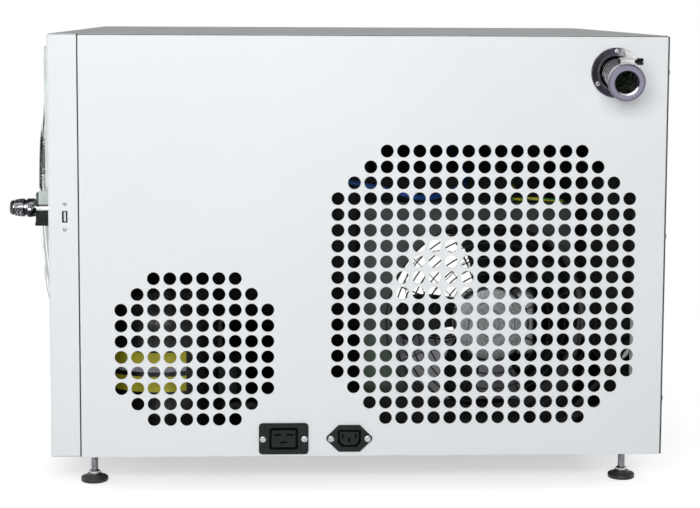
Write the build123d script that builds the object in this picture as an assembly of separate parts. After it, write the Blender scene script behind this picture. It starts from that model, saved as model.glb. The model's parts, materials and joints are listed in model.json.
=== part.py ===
from build123d import *
import os
from math import cos, radians, sin, sqrt, tan

# Bench-top freeze dryer, in millimetres.  +X is the operator's right, +Y the rear, +Z up.
# Places are written as (x, u, v): x from the cabinet's middle plane, u back from the front face
# and v up from the cabinet's underside.

# Cabinet
width = 600.0
depth = 672.0
body_height = 462.0
foot_height = 37.0
sheet = 1.5
rear_sheet = 2.0
bend_radius = 3.0
fascia_depth = 32.0
bulkhead_sheet = 1.5
lip_width = 14.0
chassis_flange = 30.0
rear_screw_edge = 8.0
rear_screw_rows = (61.0, 242.0, 422.0)
rear_screw_hole = 2.2

# Vents in the right side
vent_hole_radius = 7.0
vent_pitch_u = 17.7
vent_pitch_v = 17.3
small_vent_u, small_vent_v = 157.0, 119.5
small_vent_columns, small_vent_rows, small_vent_steps = 10, 10, 2
large_vent_u, large_vent_v = 472.0, 189.5
large_vent_columns, large_vent_rows, large_vent_steps = 19, 18, 3

# Chamber and its door
chamber_v = 278.0
chamber_radius = 145.0
chamber_wall = 2.0
chamber_length = 316.0
chamber_end = 4.0
ring_width = 20.0
ring_proud = 3.0
ring_length = 14.0
collar_width = 21.0
collar_thickness = 5.0
coil_tube_radius = 5.0
coil_pitch = 26.0
insulation_thickness = 18.0
gasket_thickness = 4.0
door_overhang = 5.0
door_rim = 20.0
door_flat = 22.0
door_rise = 15.0
hinge_reach = 20.0
hinge_axis_proud = 14.0
hinge_knuckle_radius = 7.0
hinge_knuckle_height = 24.0
hinge_pin_radius = 3.0
strap_thickness = 4.0
latch_reach, latch_v = 20.0, 262.0
latch_post_width, latch_post_height = 28.0, 38.0
latch_post_proud = 27.0
knob_length = 28.8
knob_radius = 10.5
latch_spindle_radius = 4.0
latch_spindle_length = 16.0
tongue_width, tongue_thickness = 16.0, 5.0
tongue_overlap = 12.0
latch_rim_gap = 1.6
latch_collar_radius, latch_collar = 6.5, 1.2
strap_half_height = 20.0
strap_screw_radius, strap_screw_head = 2.5, 4.6
strap_screw_offset = 12.0

# Shelf rack
tray_count = 4
shelf_count = tray_count + 1     # the top shelf warms the top tray from above
rack_side_gap = 35.0
rack_front_u, rack_back_u = 26.0, 300.0
rack_bar_width = 14.0
rack_hole_radius = 6.0
heater_thickness = 2.5
tray_wall = 1.2
tray_height = 20.0
tray_gap = 2.0

# Fan
fan_u, fan_v = 495.0, 126.0
shroud_inset = 150.0
shroud_flange = 22.0
collar_depth = 36.0
shroud_front_u, shroud_back_u = 345.0, 596.0
shroud_height = 265.0
fan_opening_radius = 115.0
fan_tip_gap = 5.0
fan_blades = 5
fan_hub_radius = 34.0
fan_rest_angle = 103.0
hub_depth, hub_middle = 24.0, -20.0
blade_thickness = 2.0
blade_root_chord, blade_root_pitch = 30.0, 38.0
blade_tip_chord, blade_tip_pitch = 50.0, 26.0
motor_radius = 42.5
motor_length = 44.0
motor_base = 2.0
motor_screw_radius = 3.0
fan_shaft_radius = 4.0
guard_wire_radius = 0.8
guard_ring_pitch = 9.0
guard_stand_off = 40.0
exhaust_u, exhaust_v = 482.0, 90.0
exhaust_radius = 71.0
exhaust_guard_radius = 76.0
exhaust_ring_pitch = 11.0

# Refrigeration
compressor_inset, compressor_u = 95.0, 116.0
compressor_radius = 68.0
compressor_base_v = 15.0
compressor_straight = 118.0
compressor_dome = 38.0
compressor_seam = 1.0
compressor_foot_share = 0.94
terminal_half_width, terminal_reach = 26.0, 20.0
terminal_below, terminal_above = 14.0, 22.0
return_line_offset = 11.4
condenser_half_length = 200.0
condenser_inset = 270.0
condenser_thickness, condenser_back_gap = 48.0, 2.0
condenser_low_v, condenser_high_v = 96.0, 300.0
condenser_rows = 6
condenser_tube_radius = 5.0
fin_thickness = 0.5
fin_pitch = 8.0
drier_inset = 85.0
drier_radius = 12.5
drier_front_u, drier_back_u = 420.0, 560.0

# Vacuum port
port_u, port_v = 613.5, 422.0
port_bore_gap = 3.0
port_flange_width = 8.7
port_flange_thickness = 3.0
port_screw_inset = 3.8
hose_radius = 15.5
hose_wall = 1.0
hose_rib = 0.8
hose_rib_pitch = 3.2
kf_rim = 4.5
kf_stub_wall = 1.35
kf_stub = 22.0
port_reach = 52.0
port_droop = 9.0
port_swing = 2.0
nozzle_x, nozzle_v = 58.0, 350.0
clamp_band_width, clamp_band_thickness = 9.0, 0.9
clamp_screw_radius, clamp_screw_height = 2.6, 3.4
clamp_back = 16.0
housing_size, housing_offset = (15.0, 7.2, 11.0), 2.0

# Sockets, switch, screen
outlet_v = 20.0
large_outlet_u, small_outlet_u = 254.0, 326.0
large_outlet_spacing = 45.4
small_outlet_spacing = 40.0
socket_flange = 2.5
socket_depth = 28.0
groove_depth = 14.0
inlet_x, inlet_v = 170.0, 66.0
usb_u, usb_v = 18.0, 265.0
usb_shell = (5.8, 12.6)
usb_screw_radius = 1.4
usb_screw_offset = 14.0
switch_inset, switch_v = 48.0, 62.0
switch_body = (13.0, 19.2)
rocker_tilt = 10.0
screen_width, screen_height, screen_proud = 98.0, 156.0, 4.0
screen_inset, screen_v = 60.0, 370.0
board_width, board_height, board_thickness = 86.0, 140.0, 1.6
board_stand_off = 12.0
loom_inset, loom_v = 75.0, 285.0
box_depth, box_height = 70.5, 150.0
box_front_u, box_back_u = 380.0, 590.0
loom_hole_radius = 9.0

# Feet
foot_inset_x = 40.0
foot_front_u, foot_back_inset = 43.0, 36.0
foot_pad_radius = 15.0
foot_stem_radius = 4.0

seat_gap = 0.3        # between a piece and the curved or moving seat that carries it
running_gap = 0.05    # round a shaft that turns in its hole

front_y = -depth / 2
side_x = width / 2
shroud_x = side_x - shroud_inset
compressor_x = side_x - compressor_inset
condenser_x = side_x - condenser_inset
drier_x = side_x - drier_inset
switch_x = side_x - switch_inset
screen_x = side_x - screen_inset
loom_x = side_x - loom_inset
foot_back_u = depth - foot_back_inset
cover_front_u = fascia_depth + bulkhead_sheet
cover_back_u = depth - rear_sheet
condenser_back_u = cover_back_u - condenser_back_gap
condenser_front_u = condenser_back_u - condenser_thickness
ring_radius = chamber_radius + ring_width
collar_radius = chamber_radius + chamber_wall + collar_width
door_radius = ring_radius + door_overhang
rack_half_width = chamber_radius - rack_side_gap
latch_x = door_radius + latch_reach
fan_tip_radius = fan_opening_radius - fan_tip_gap
insulation_inner = chamber_radius + chamber_wall + 2 * coil_tube_radius + 2 * seat_gap
insulation_outer = insulation_inner + insulation_thickness
insulation_back_u = chamber_length + chamber_end + insulation_thickness
door_back_u = -(ring_proud + gasket_thickness + seat_gap)
door_front_u = door_back_u - door_rim
hinge_x = -(door_radius + hinge_reach)
hose_inner = hose_radius - hose_rib - hose_wall
port_bore_radius = hose_radius + port_bore_gap
port_flange_radius = port_bore_radius + port_flange_width
port_screw_circle = port_flange_radius - port_screw_inset
kf_radius = hose_radius + kf_rim
kf_bore_radius = hose_inner - running_gap - kf_stub_wall
port_axis = Vector(port_reach, port_swing, -port_droop).normalized()


# ---- helpers ---------------------------------------------------------------------------------

def spot(x, u, v):
    return Vector(x, front_y + u, foot_height + v)


def block(x_span, u_span, v_span):
    size = [span[1] - span[0] for span in (x_span, u_span, v_span)]
    middle = [(span[0] + span[1]) / 2 for span in (x_span, u_span, v_span)]
    return Pos(spot(*middle)) * Box(*size)


def rod(start, end, radius):
    return Solid.make_cylinder(radius, (end - start).length, Plane(origin=start, z_dir=end - start))


def tube(start, end, outer, inner):
    return rod(start, end, outer) - rod(start, end, inner)


def facing(origin, outward):
    # A plane on a wall: its z points outward, and its y points up.
    up = Vector(0, 0, 1)
    return Plane(origin=origin, x_dir=up.cross(outward), z_dir=outward)


def turned(profile, plane):
    # Profile points are (radius, distance along the plane's z).
    outline = Plane.XZ * Polyline(profile, close=True)
    return plane.location * revolve(make_face(outline), Axis.Z)


def pan_screw(plane, head_radius, head_height, shank_radius, shank_length):
    head = Pos(0, 0, head_height / 2) * Cylinder(head_radius, head_height)
    head = fillet(head.edges().sort_by(Axis.Z)[-1], head_height * 0.6)
    shank = Pos(0, 0, -shank_length / 2) * Cylinder(shank_radius, shank_length)
    arm = Pos(0, 0, head_height) * Box(head_radius * 1.1, head_radius * 0.24, head_height * 0.9)
    return plane.location * (head + shank - arm - Rot(0, 0, 90) * arm)


def bent_tube(points, radii, radius, wall=0.0):
    path = FilletPolyline(*points, radius=radii)
    start = Plane(origin=path @ 0, z_dir=path % 0)
    solid = sweep(start * Circle(radius), path=path)
    if wall:
        solid -= sweep(start * Circle(radius - wall), path=path)
    return solid


def easy_radii(points):
    # The largest arcs that the runs beside each corner leave room for.
    radii = []
    for before, corner, after in zip(points, points[1:], points[2:]):
        arriving = corner - before
        leaving = after - corner
        half_turn = radians(arriving.get_angle(leaving) / 2)
        radii.append(0.45 * min(arriving.length, leaving.length) / tan(half_turn))
    return radii


def vent_places(columns, rows, corner_steps):
    # A grid whose corners step in by one hole a row.
    for row in range(rows):
        trim = max(corner_steps - min(row, rows - 1 - row), 0)
        for column in range(trim, columns - trim):
            du = (column - (columns - 1) / 2) * vent_pitch_u
            dv = ((rows - 1) / 2 - row) * vent_pitch_v
            yield du, dv


def as_compound(shape):
    solids = shape if isinstance(shape, list) else [shape]
    return Compound(children=[solid for item in solids for solid in item.solids()])


# ---- cabinet ---------------------------------------------------------------------------------

def cabinet_cover():
    span = (cover_front_u, cover_back_u)
    outer = block((-side_x, side_x), span, (0, body_height))
    outer = fillet(outer.edges().filter_by(Axis.Y).group_by(Axis.Z)[-1], bend_radius)
    inner_x = side_x - sheet
    inner = block((-inner_x, inner_x), (span[0] - 1, span[1] + 1), (-1, body_height - sheet))
    inner = fillet(inner.edges().filter_by(Axis.Y).group_by(Axis.Z)[-1], bend_radius - sheet)
    cover = outer - inner

    lip_v = (chassis_flange, body_height)
    window_x = side_x - lip_width
    for low, high in ((span[0], span[0] + sheet), (span[1] - sheet, span[1])):
        lip = outer & block((-side_x, side_x), (low, high), lip_v)
        lip -= block((-window_x, window_x), (low - 1, high + 1), (0, body_height - lip_width))
        cover += lip

    def through(u, v, radius):
        return rod(spot(side_x + 1, u, v), spot(side_x - sheet - 1, u, v), radius)

    holes = [through(small_vent_u + du, small_vent_v + dv, vent_hole_radius)
             for du, dv in vent_places(small_vent_columns, small_vent_rows, small_vent_steps)]
    holes += [through(large_vent_u + du, large_vent_v + dv, vent_hole_radius)
              for du, dv in vent_places(large_vent_columns, large_vent_rows, large_vent_steps)]
    holes.append(through(port_u, port_v, port_bore_radius))
    for plane, radius in port_screw_planes():
        holes.append(plane.location * Cylinder(radius + 0.2, 20))
    for u, spacing in ((large_outlet_u, large_outlet_spacing), (small_outlet_u, small_outlet_spacing)):
        holes += [through(u + side * spacing / 2, outlet_v, 2.0) for side in (-1, 1)]
    cover -= holes

    wall = facing(spot(side_x, 0, 0), Vector(1, 0, 0))
    for u, body in ((large_outlet_u, large_outlet_body()), (small_outlet_u, small_outlet_body())):
        cutout = Pos(0, 0, 1) * extrude(offset(body, 0.3), -(sheet + 2))
        cover -= wall.location * Pos(u, outlet_v, 0) * cutout

    cover -= rod(spot(-side_x - 1, exhaust_u, exhaust_v), spot(1 - side_x + sheet, exhaust_u, exhaust_v),
                 exhaust_radius)
    cover -= [plane.location * Cylinder(rear_screw_hole, 10 * sheet) for plane in rear_screw_planes()]
    return cover


def front_fascia():
    pan = block((-side_x, side_x), (0, fascia_depth), (0, body_height))
    rounded = pan.edges() - pan.edges().group_by(Axis.Y)[-1]
    pan = fillet(rounded, bend_radius)
    hollow = block((sheet - side_x, side_x - sheet), (sheet, fascia_depth - sheet),
                   (sheet, body_height - sheet))
    rounded = hollow.edges() - hollow.edges().group_by(Axis.Y)[-1]
    hollow = fillet(rounded, bend_radius - sheet)
    back_opening = block((lip_width - side_x, side_x - lip_width), (fascia_depth - 2 * sheet,
                         fascia_depth + 1), (lip_width, body_height - lip_width))
    pan -= hollow
    pan -= back_opening
    pan -= rod(spot(0, -1, chamber_v), spot(0, 2 * sheet, chamber_v), ring_radius + 1)
    pan -= block((switch_x - switch_body[0] / 2, switch_x + switch_body[0] / 2), (-1, 2 * sheet),
                 (switch_v - switch_body[1] / 2, switch_v + switch_body[1] / 2))
    pan -= block((side_x - 2 * sheet, side_x + 1), (usb_u - usb_shell[0] / 2, usb_u + usb_shell[0] / 2),
                 (usb_v - usb_shell[1] / 2, usb_v + usb_shell[1] / 2))
    pan -= [plane.location * Cylinder(usb_screw_radius + 0.1, 6 * sheet) for plane in usb_screw_planes()]
    ribbon = (screen_v - 12, screen_v + 12)
    pan -= block((screen_x - 20, screen_x + 20), (-1, 2 * sheet), ribbon)
    return pan


def front_bulkhead():
    inset = bend_radius
    plate = block((inset - side_x, side_x - inset), (fascia_depth, fascia_depth + bulkhead_sheet),
                  (0, body_height - inset))
    plate -= rod(spot(0, fascia_depth - 1, chamber_v), spot(0, cover_front_u + 1, chamber_v),
                 chamber_radius + chamber_wall + 1)
    plate -= rod(spot(loom_x, fascia_depth - 1, loom_v), spot(loom_x, cover_front_u + 1, loom_v),
                 loom_hole_radius)
    return plate


def base_chassis():
    inner_x = side_x - sheet
    tray = block((-inner_x, inner_x), (cover_front_u, depth), (0, chassis_flange))
    tray -= block((sheet - inner_x, inner_x - sheet), (cover_front_u + sheet, depth - sheet),
                  (sheet, chassis_flange + 1))
    tray -= rod(spot(-side_x, exhaust_u, exhaust_v), spot(2 * sheet - side_x, exhaust_u, exhaust_v),
                exhaust_guard_radius + 3)
    for x, u in foot_places():
        tray -= rod(spot(x, u, -1), spot(x, u, sheet + 1), foot_stem_radius + 0.3)
    for u, body in ((large_outlet_u, large_outlet_body()), (small_outlet_u, small_outlet_body())):
        wall = facing(spot(inner_x, u, outlet_v), Vector(1, 0, 0))
        tray -= wall.location * Pos(0, 0, 1) * extrude(offset(body, 1.0), -(sheet + 2))
    for u, spacing in ((large_outlet_u, large_outlet_spacing), (small_outlet_u, small_outlet_spacing)):
        for side in (-1, 1):
            end = u + side * spacing / 2
            tray -= rod(spot(inner_x + 1, end, outlet_v), spot(inner_x - sheet - 1, end, outlet_v), 2.0)
    return tray


def rear_panel():
    inset = 1.0
    panel = block((inset - side_x, side_x - inset), (cover_back_u, depth),
                  (chassis_flange, body_height - inset))
    columns = int(2 * condenser_half_length / vent_pitch_u)
    low_v = condenser_low_v
    rows = int((condenser_high_v - low_v) / vent_pitch_v)
    middle_v = low_v + rows * vent_pitch_v / 2
    holes = []
    for dx, dv in vent_places(columns, rows, 0):
        place = (condenser_x + dx, middle_v + dv)
        holes.append(rod(spot(place[0], cover_back_u - 1, place[1]), spot(place[0], depth + 1, place[1]),
                         vent_hole_radius))
    panel -= holes
    wall = facing(spot(inlet_x, depth, inlet_v), Vector(0, 1, 0))
    panel -= wall.location * Pos(0, 0, 1) * extrude(offset(large_outlet_body(), 0.3), -(rear_sheet + 2))
    for side in (-1, 1):
        panel -= wall.location * Pos(side * large_outlet_spacing / 2, 0, 0) * Cylinder(2.0, 4 * rear_sheet)
    panel -= [plane.location * Cylinder(rear_screw_hole, 4 * rear_sheet) for plane in rear_screw_planes()]
    return panel


def rear_screw_planes():
    return [facing(spot(side * (side_x - rear_screw_edge), depth, v), Vector(0, 1, 0))
            for side in (-1, 1) for v in rear_screw_rows]


def rear_screws():
    return [pan_screw(plane, 3.0, 2.5, 2.0, 8.0) for plane in rear_screw_planes()]


def foot_places():
    x = side_x - foot_inset_x
    return [(x, foot_front_u), (-x, foot_front_u), (x, foot_back_u), (-x, foot_back_u)]


def levelling_foot(x, u):
    pad = 5.0
    shoulder = 9.0
    top = foot_height + sheet + 14.0
    profile = [(0, 0), (foot_pad_radius - 1, 0), (foot_pad_radius, 1), (foot_pad_radius, pad),
               (foot_stem_radius + 4, shoulder), (foot_stem_radius, shoulder),
               (foot_stem_radius, top - 1), (foot_stem_radius - 1, top), (0, top)]
    return turned(profile, Plane(origin=spot(x, u, -foot_height)))


def foot_nuts():
    nuts = []
    across_flats = 13.0
    nut_height = 6.5
    corner = across_flats / sqrt(3)
    for x, u in foot_places():
        base = Plane(origin=spot(x, u, sheet))
        nut = extrude(RegularPolygon(corner, 6), nut_height)
        nut -= Cylinder(foot_stem_radius + running_gap, 4 * nut_height)
        nuts.append(base.location * nut)
    return nuts


# ---- chamber and door ------------------------------------------------------------------------

def chamber_plane():
    # z runs back from the front face of the cabinet, along the chamber's axis.
    return Plane(origin=spot(0, 0, chamber_v), x_dir=(1, 0, 0), z_dir=(0, 1, 0))


def chamber_vessel():
    outer = chamber_radius + chamber_wall
    end = chamber_length + chamber_end
    profile = [(chamber_radius, -ring_proud), (ring_radius, -ring_proud), (ring_radius, ring_length),
               (outer, ring_length), (outer, cover_front_u), (collar_radius, cover_front_u),
               (collar_radius, cover_front_u + collar_thickness),
               (outer, cover_front_u + collar_thickness), (outer, end), (0, end), (0, chamber_length),
               (chamber_radius, chamber_length)]
    vessel = turned(profile, chamber_plane())
    start = spot(nozzle_x, chamber_length + 1, nozzle_v)
    mouth = spot(nozzle_x, insulation_back_u + 22, nozzle_v)
    vessel += rod(start, mouth, hose_inner - running_gap)
    vessel -= rod(spot(nozzle_x, chamber_length - 5, nozzle_v), mouth + Vector(0, 1, 0), kf_bore_radius)
    return vessel


def chamber_insulation():
    front = cover_front_u + collar_thickness
    inner_end = chamber_length + chamber_end
    profile = [(insulation_inner, front), (insulation_outer, front),
               (insulation_outer, insulation_back_u), (0, insulation_back_u), (0, inner_end),
               (insulation_inner, inner_end)]
    shell = turned(profile, chamber_plane())
    shell -= rod(spot(nozzle_x, inner_end - 1, nozzle_v), spot(nozzle_x, insulation_back_u + 1, nozzle_v),
                 hose_radius)
    coil_x, coil_front, coil_back = coil_ends()
    for u, way in ((coil_front, insulation_outer), (coil_back, -insulation_outer)):
        shell -= rod(spot(coil_x, u, chamber_v), spot(coil_x, u, chamber_v + way), coil_tube_radius + 1)
    return shell


def evaporator_coil():
    radius, front, back = coil_ends()
    path = Helix(pitch=coil_pitch, height=back - front, radius=radius)
    section = Plane(origin=path @ 0, z_dir=path % 0) * Circle(coil_tube_radius)
    coil = sweep(section, path=path, is_frenet=True)
    start = chamber_plane().offset(front)
    return start.location * coil


def door_gasket():
    inner = chamber_radius + 4
    outer = ring_radius - 3
    front = -(ring_proud + gasket_thickness)
    return turned([(inner, front), (outer, front), (outer, -ring_proud), (inner, -ring_proud)],
                  chamber_plane())


def door_window():
    # A thick clear disc, flat round its rim and domed in the middle.
    flat = door_radius - door_flat
    edge = 1.5
    front_arc = ThreePointArc((0, door_front_u - door_rise), arc_middle(flat, door_front_u, door_rise),
                              (flat, door_front_u))
    inner_flat = chamber_radius - 8
    inner_rise = door_rise + 1
    back_arc = ThreePointArc((inner_flat, door_back_u), arc_middle(inner_flat, door_back_u, inner_rise),
                             (0, door_back_u - inner_rise))
    rim = Polyline((flat, door_front_u), (door_radius - edge, door_front_u),
                   (door_radius, door_front_u + edge), (door_radius, door_back_u - edge),
                   (door_radius - edge, door_back_u), (inner_flat, door_back_u))
    axis = Line((0, door_back_u - inner_rise), (0, door_front_u - door_rise))
    outline = Plane.XZ * Curve([front_arc, rim, back_arc, axis])
    window = chamber_plane().location * revolve(make_face(outline.edges()), Axis.Z)
    for plane in strap_screw_planes():
        window -= plane.location * Cylinder(strap_screw_radius + 0.2, 40)
    return window


def arc_middle(half_chord, base, rise):
    # The point halfway along a shallow dome's arc, from its top to its edge.
    radius = (half_chord ** 2 + rise ** 2) / (2 * rise)
    middle = half_chord / 2
    return middle, base - rise + radius - sqrt(radius ** 2 - middle ** 2)


def strap_screw_planes():
    out = door_front_u - strap_thickness
    return [facing(spot(-(door_radius - door_flat / 2), out, chamber_v + dv), Vector(0, -1, 0))
            for dv in (-strap_screw_offset, strap_screw_offset)]


def strap_screws():
    return [pan_screw(plane, strap_screw_head, 2.8, strap_screw_radius, 18.0)
            for plane in strap_screw_planes()]


def hinge_strap():
    out = door_front_u - strap_thickness
    back = door_front_u
    half = hinge_knuckle_height / 2 - seat_gap
    tall = strap_half_height
    plate = block((hinge_x - hinge_knuckle_radius, -(door_radius - door_flat + 3)), (out, back),
                  (chamber_v - tall, chamber_v + tall))
    plate -= block((hinge_x - 50, hinge_x + hinge_knuckle_radius + 4), (out - 1, back + 1),
                   (chamber_v + half, chamber_v + 2 * tall))
    plate -= block((hinge_x - 50, hinge_x + hinge_knuckle_radius + 4), (out - 1, back + 1),
                   (chamber_v - 2 * tall, chamber_v - half))
    leg = block((hinge_x - hinge_knuckle_radius, hinge_x + hinge_knuckle_radius),
                (out, -hinge_axis_proud), (chamber_v - half, chamber_v + half))
    low = spot(hinge_x, -hinge_axis_proud, chamber_v - half)
    high = spot(hinge_x, -hinge_axis_proud, chamber_v + half)
    strap = plate + leg + rod(low, high, hinge_knuckle_radius)
    reach = Vector(0, 0, 1)
    strap -= rod(low - reach, high + reach, hinge_pin_radius + running_gap)
    for plane in strap_screw_planes():
        strap -= plane.location * Cylinder(strap_screw_radius + 0.2, 20)
    return strap


def hinge_bracket():
    # Two knuckles on a plate, one above and one below the strap's own.
    half = hinge_knuckle_height / 2
    outer = half + hinge_knuckle_height * 0.75
    base = block((hinge_x - 14, hinge_x + 14), (-3, 0), (chamber_v - outer, chamber_v + outer))
    bracket = base
    for side in (-1, 1):
        low, high = sorted((chamber_v + side * half, chamber_v + side * outer))
        bracket += block((hinge_x - hinge_knuckle_radius, hinge_x + hinge_knuckle_radius),
                         (-hinge_axis_proud, -3), (low, high))
        bracket += rod(spot(hinge_x, -hinge_axis_proud, low), spot(hinge_x, -hinge_axis_proud, high),
                       hinge_knuckle_radius)
    bracket -= rod(spot(hinge_x, -hinge_axis_proud, chamber_v - 2 * outer),
                   spot(hinge_x, -hinge_axis_proud, chamber_v + 2 * outer), hinge_pin_radius)
    return bracket


def hinge_pin():
    half = hinge_knuckle_height * 1.25
    axis_u = -hinge_axis_proud
    pin = rod(spot(hinge_x, axis_u, chamber_v - half), spot(hinge_x, axis_u, chamber_v + half),
              hinge_pin_radius)
    head = rod(spot(hinge_x, axis_u, chamber_v + half), spot(hinge_x, axis_u, chamber_v + half + 2),
               hinge_pin_radius + 2)
    return pin + head


def latch_post():
    half_x = latch_post_width / 2
    half_v = latch_post_height / 2
    post = block((latch_x - half_x, latch_x + half_x), (-latch_post_proud, 0),
                 (latch_v - half_v, latch_v + half_v))
    post = fillet(post.edges().filter_by(Axis.Y), 5.0)
    post = fillet(post.faces().sort_by(Axis.Y)[0].edges(), 1.5)
    bore_end = latch_spindle_length + 2 - latch_post_proud
    bore = rod(spot(latch_x, -latch_post_proud - 1, latch_v), spot(latch_x, bore_end, latch_v),
               latch_spindle_radius + running_gap)
    waist = block((latch_x - 2 * half_x, latch_x + 2 * half_x), (-latch_post_proud + 8, -8),
                  (latch_v - 1, latch_v + half_v - 8))
    grooves = waist - block((latch_x - half_x + 2, latch_x + half_x - 2), (-latch_post_proud, 0),
                            (latch_v - half_v, latch_v + half_v))
    return post - bore - grooves


def latch_knob():
    # The knob, its spindle and the tongue.  The tongue points away from the door at rest, and half
    # a turn brings it over the door's rim.
    start = latch_rim_gap - door_front_u
    plane = facing(spot(latch_x, -start, latch_v), Vector(0, -1, 0))
    tip = knob_radius * 0.8
    profile = [(0, -latch_spindle_length), (latch_spindle_radius, -latch_spindle_length),
               (latch_spindle_radius, -latch_collar), (latch_collar_radius, -latch_collar),
               (latch_collar_radius, 0), (knob_radius, 0),
               (knob_radius, 9), (knob_radius - 1.2, 10), (knob_radius - 1.2, 11.5), (knob_radius, 12.5),
               (tip + 0.8, knob_length - 6), (tip, knob_length - 5), (tip, knob_length - 3),
               (tip - 2.5, knob_length), (0, knob_length)]
    knob = turned(profile, plane)
    reach = latch_reach + tongue_overlap - tongue_width / 2
    tongue = Pos(reach / 2, 0) * SlotCenterToCenter(reach, tongue_width)
    knob += plane.location * extrude(tongue, tongue_thickness)
    flutes = 12
    for index in range(flutes):
        groove = Pos(0, 0, knob_length - 11.5) * Cylinder(0.9, 11)
        angle = index * 360 / flutes
        knob -= plane.location * Rot(0, 0, angle) * Pos(knob_radius + 0.2, 0, 0) * groove
    return knob


# ---- shelves ---------------------------------------------------------------------------------

rack_half_height = sqrt(chamber_radius ** 2 - (rack_half_width + sheet) ** 2) - seat_gap
shelf_pitch = (2 * rack_half_height - 14) / tray_count


def shelf_v(level):
    # Underside of a shelf, counted from the lowest.
    return chamber_v - rack_half_height + 8 + level * shelf_pitch


def shelf_rack():
    # Two side walls, the shelves between them, two straps behind and a bar over the front, all
    # of them flat sheets that are welded edge to edge.
    low = chamber_v - rack_half_height
    high = chamber_v + rack_half_height
    back_u = rack_back_u - sheet
    sheets = []
    for side in (-1, 1):
        xs = sorted((side * rack_half_width, side * (rack_half_width + sheet)))
        wall = block(xs, (rack_front_u, rack_back_u), (low, high))
        for level in range(tray_count):
            middle = shelf_v(level) + shelf_pitch * 0.62
            for u in (rack_front_u + 70, (rack_front_u + rack_back_u) / 2, rack_back_u - 70):
                wall -= rod(spot(side * (rack_half_width - 5), u, middle),
                            spot(side * (rack_half_width + 5), u, middle), rack_hole_radius)
        strap_x = side * rack_half_width * 0.5
        strap = block((strap_x - rack_bar_width / 2, strap_x + rack_bar_width / 2),
                      (back_u, rack_back_u), (low, high))
        sheets += [wall, strap]
    for level in range(shelf_count):
        v = shelf_v(level)
        sheets.append(block((-rack_half_width, rack_half_width), (rack_front_u, back_u), (v, v + sheet)))
    bar_back_u = rack_front_u + rack_bar_width
    sheets.append(block((-rack_half_width, rack_half_width), (rack_front_u, bar_back_u),
                        (high - sheet, high)))
    return sheets


def heater_mats():
    return [block((8 - rack_half_width, rack_half_width - 8), (rack_front_u + 8, rack_back_u - 8),
                  (shelf_v(level) - heater_thickness, shelf_v(level))) for level in range(shelf_count)]


def product_tray(level):
    # A floor and four walls of thin sheet, welded along their edges.
    base = shelf_v(level) + sheet
    half = rack_half_width - tray_gap
    front_u, back_u = rack_front_u + tray_gap, rack_back_u - sheet - tray_gap
    walls = (base + tray_wall, base + tray_height)
    sheets = [block((-half, half), (front_u, back_u), (base, base + tray_wall))]
    for xs in ((-half, tray_wall - half), (half - tray_wall, half)):
        sheets.append(block(xs, (front_u, back_u), walls))
    for us in ((front_u, front_u + tray_wall), (back_u - tray_wall, back_u)):
        sheets.append(block((tray_wall - half, half - tray_wall), us, walls))
    return sheets


# ---- fan and air path ------------------------------------------------------------------------

def fan_plane():
    # z points out of the right side, x to the rear and y up, from the shroud's near face.
    return facing(spot(shroud_x, fan_u, fan_v), Vector(1, 0, 0))


def fan_shroud():
    plate = block((shroud_x - sheet, shroud_x), (shroud_front_u, shroud_back_u), (sheet, shroud_height))
    plate += block((shroud_x - sheet, shroud_x + shroud_flange), (shroud_front_u, shroud_back_u),
                   (shroud_height - sheet, shroud_height))
    plate += block((shroud_x - sheet, shroud_x + shroud_flange), (shroud_front_u, shroud_front_u + sheet),
                   (sheet, shroud_height))
    collar = Pos(0, 0, -collar_depth / 2) * Cylinder(fan_opening_radius + sheet, collar_depth)
    plate += fan_plane().location * collar
    plate -= fan_plane().location * Cylinder(fan_opening_radius, 120)
    return plate


def fan_rotor():
    hub = Pos(0, 0, hub_middle) * Cylinder(fan_hub_radius, hub_depth)
    hub = fillet(hub.edges().sort_by(Axis.Z)[0], 5.0)
    rotor = hub
    root_plane = Plane(origin=(fan_hub_radius - 4, 0, hub_middle), x_dir=(0, 1, 0), z_dir=(1, 0, 0))
    tip_plane = Plane(origin=(fan_tip_radius + 4, 0, hub_middle), x_dir=(0, 1, 0), z_dir=(1, 0, 0))
    root = root_plane * Rot(0, 0, blade_root_pitch) * Rectangle(blade_root_chord, blade_thickness)
    tip = tip_plane * Rot(0, 0, blade_tip_pitch) * Rectangle(blade_tip_chord, blade_thickness)
    blade = loft([root, tip]) & (Pos(0, 0, hub_middle) * Cylinder(fan_tip_radius, 60))
    for index in range(fan_blades):
        rotor += Rot(0, 0, fan_rest_angle + index * 360 / fan_blades) * blade
    rotor -= Cylinder(fan_shaft_radius + running_gap, 90)
    return fan_plane().location * rotor


def fan_motor():
    body = Pos(0, 0, motor_length / 2 + motor_base) * Cylinder(motor_radius, motor_length)
    body = fillet(body.edges().filter_by(GeomType.CIRCLE), 4.0)
    shaft = Pos(0, 0, -14) * Cylinder(fan_shaft_radius, 34)
    motor = body + shaft
    for index in range(4):
        place = Rot(0, 0, 45 + 90 * index) * Pos(motor_radius * 0.72, 0, motor_length + motor_base)
        motor += place * Cylinder(motor_screw_radius, 3.0)
    return fan_plane().location * motor


def wire_ring(radius, height):
    return Pos(0, 0, height) * Torus(radius, guard_wire_radius)


def spoke(inner, outer, height, angle):
    start = Vector(inner, 0, height)
    end = Vector(outer, 0, height)
    return Rot(0, 0, angle) * rod(start, end, guard_wire_radius)


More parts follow.
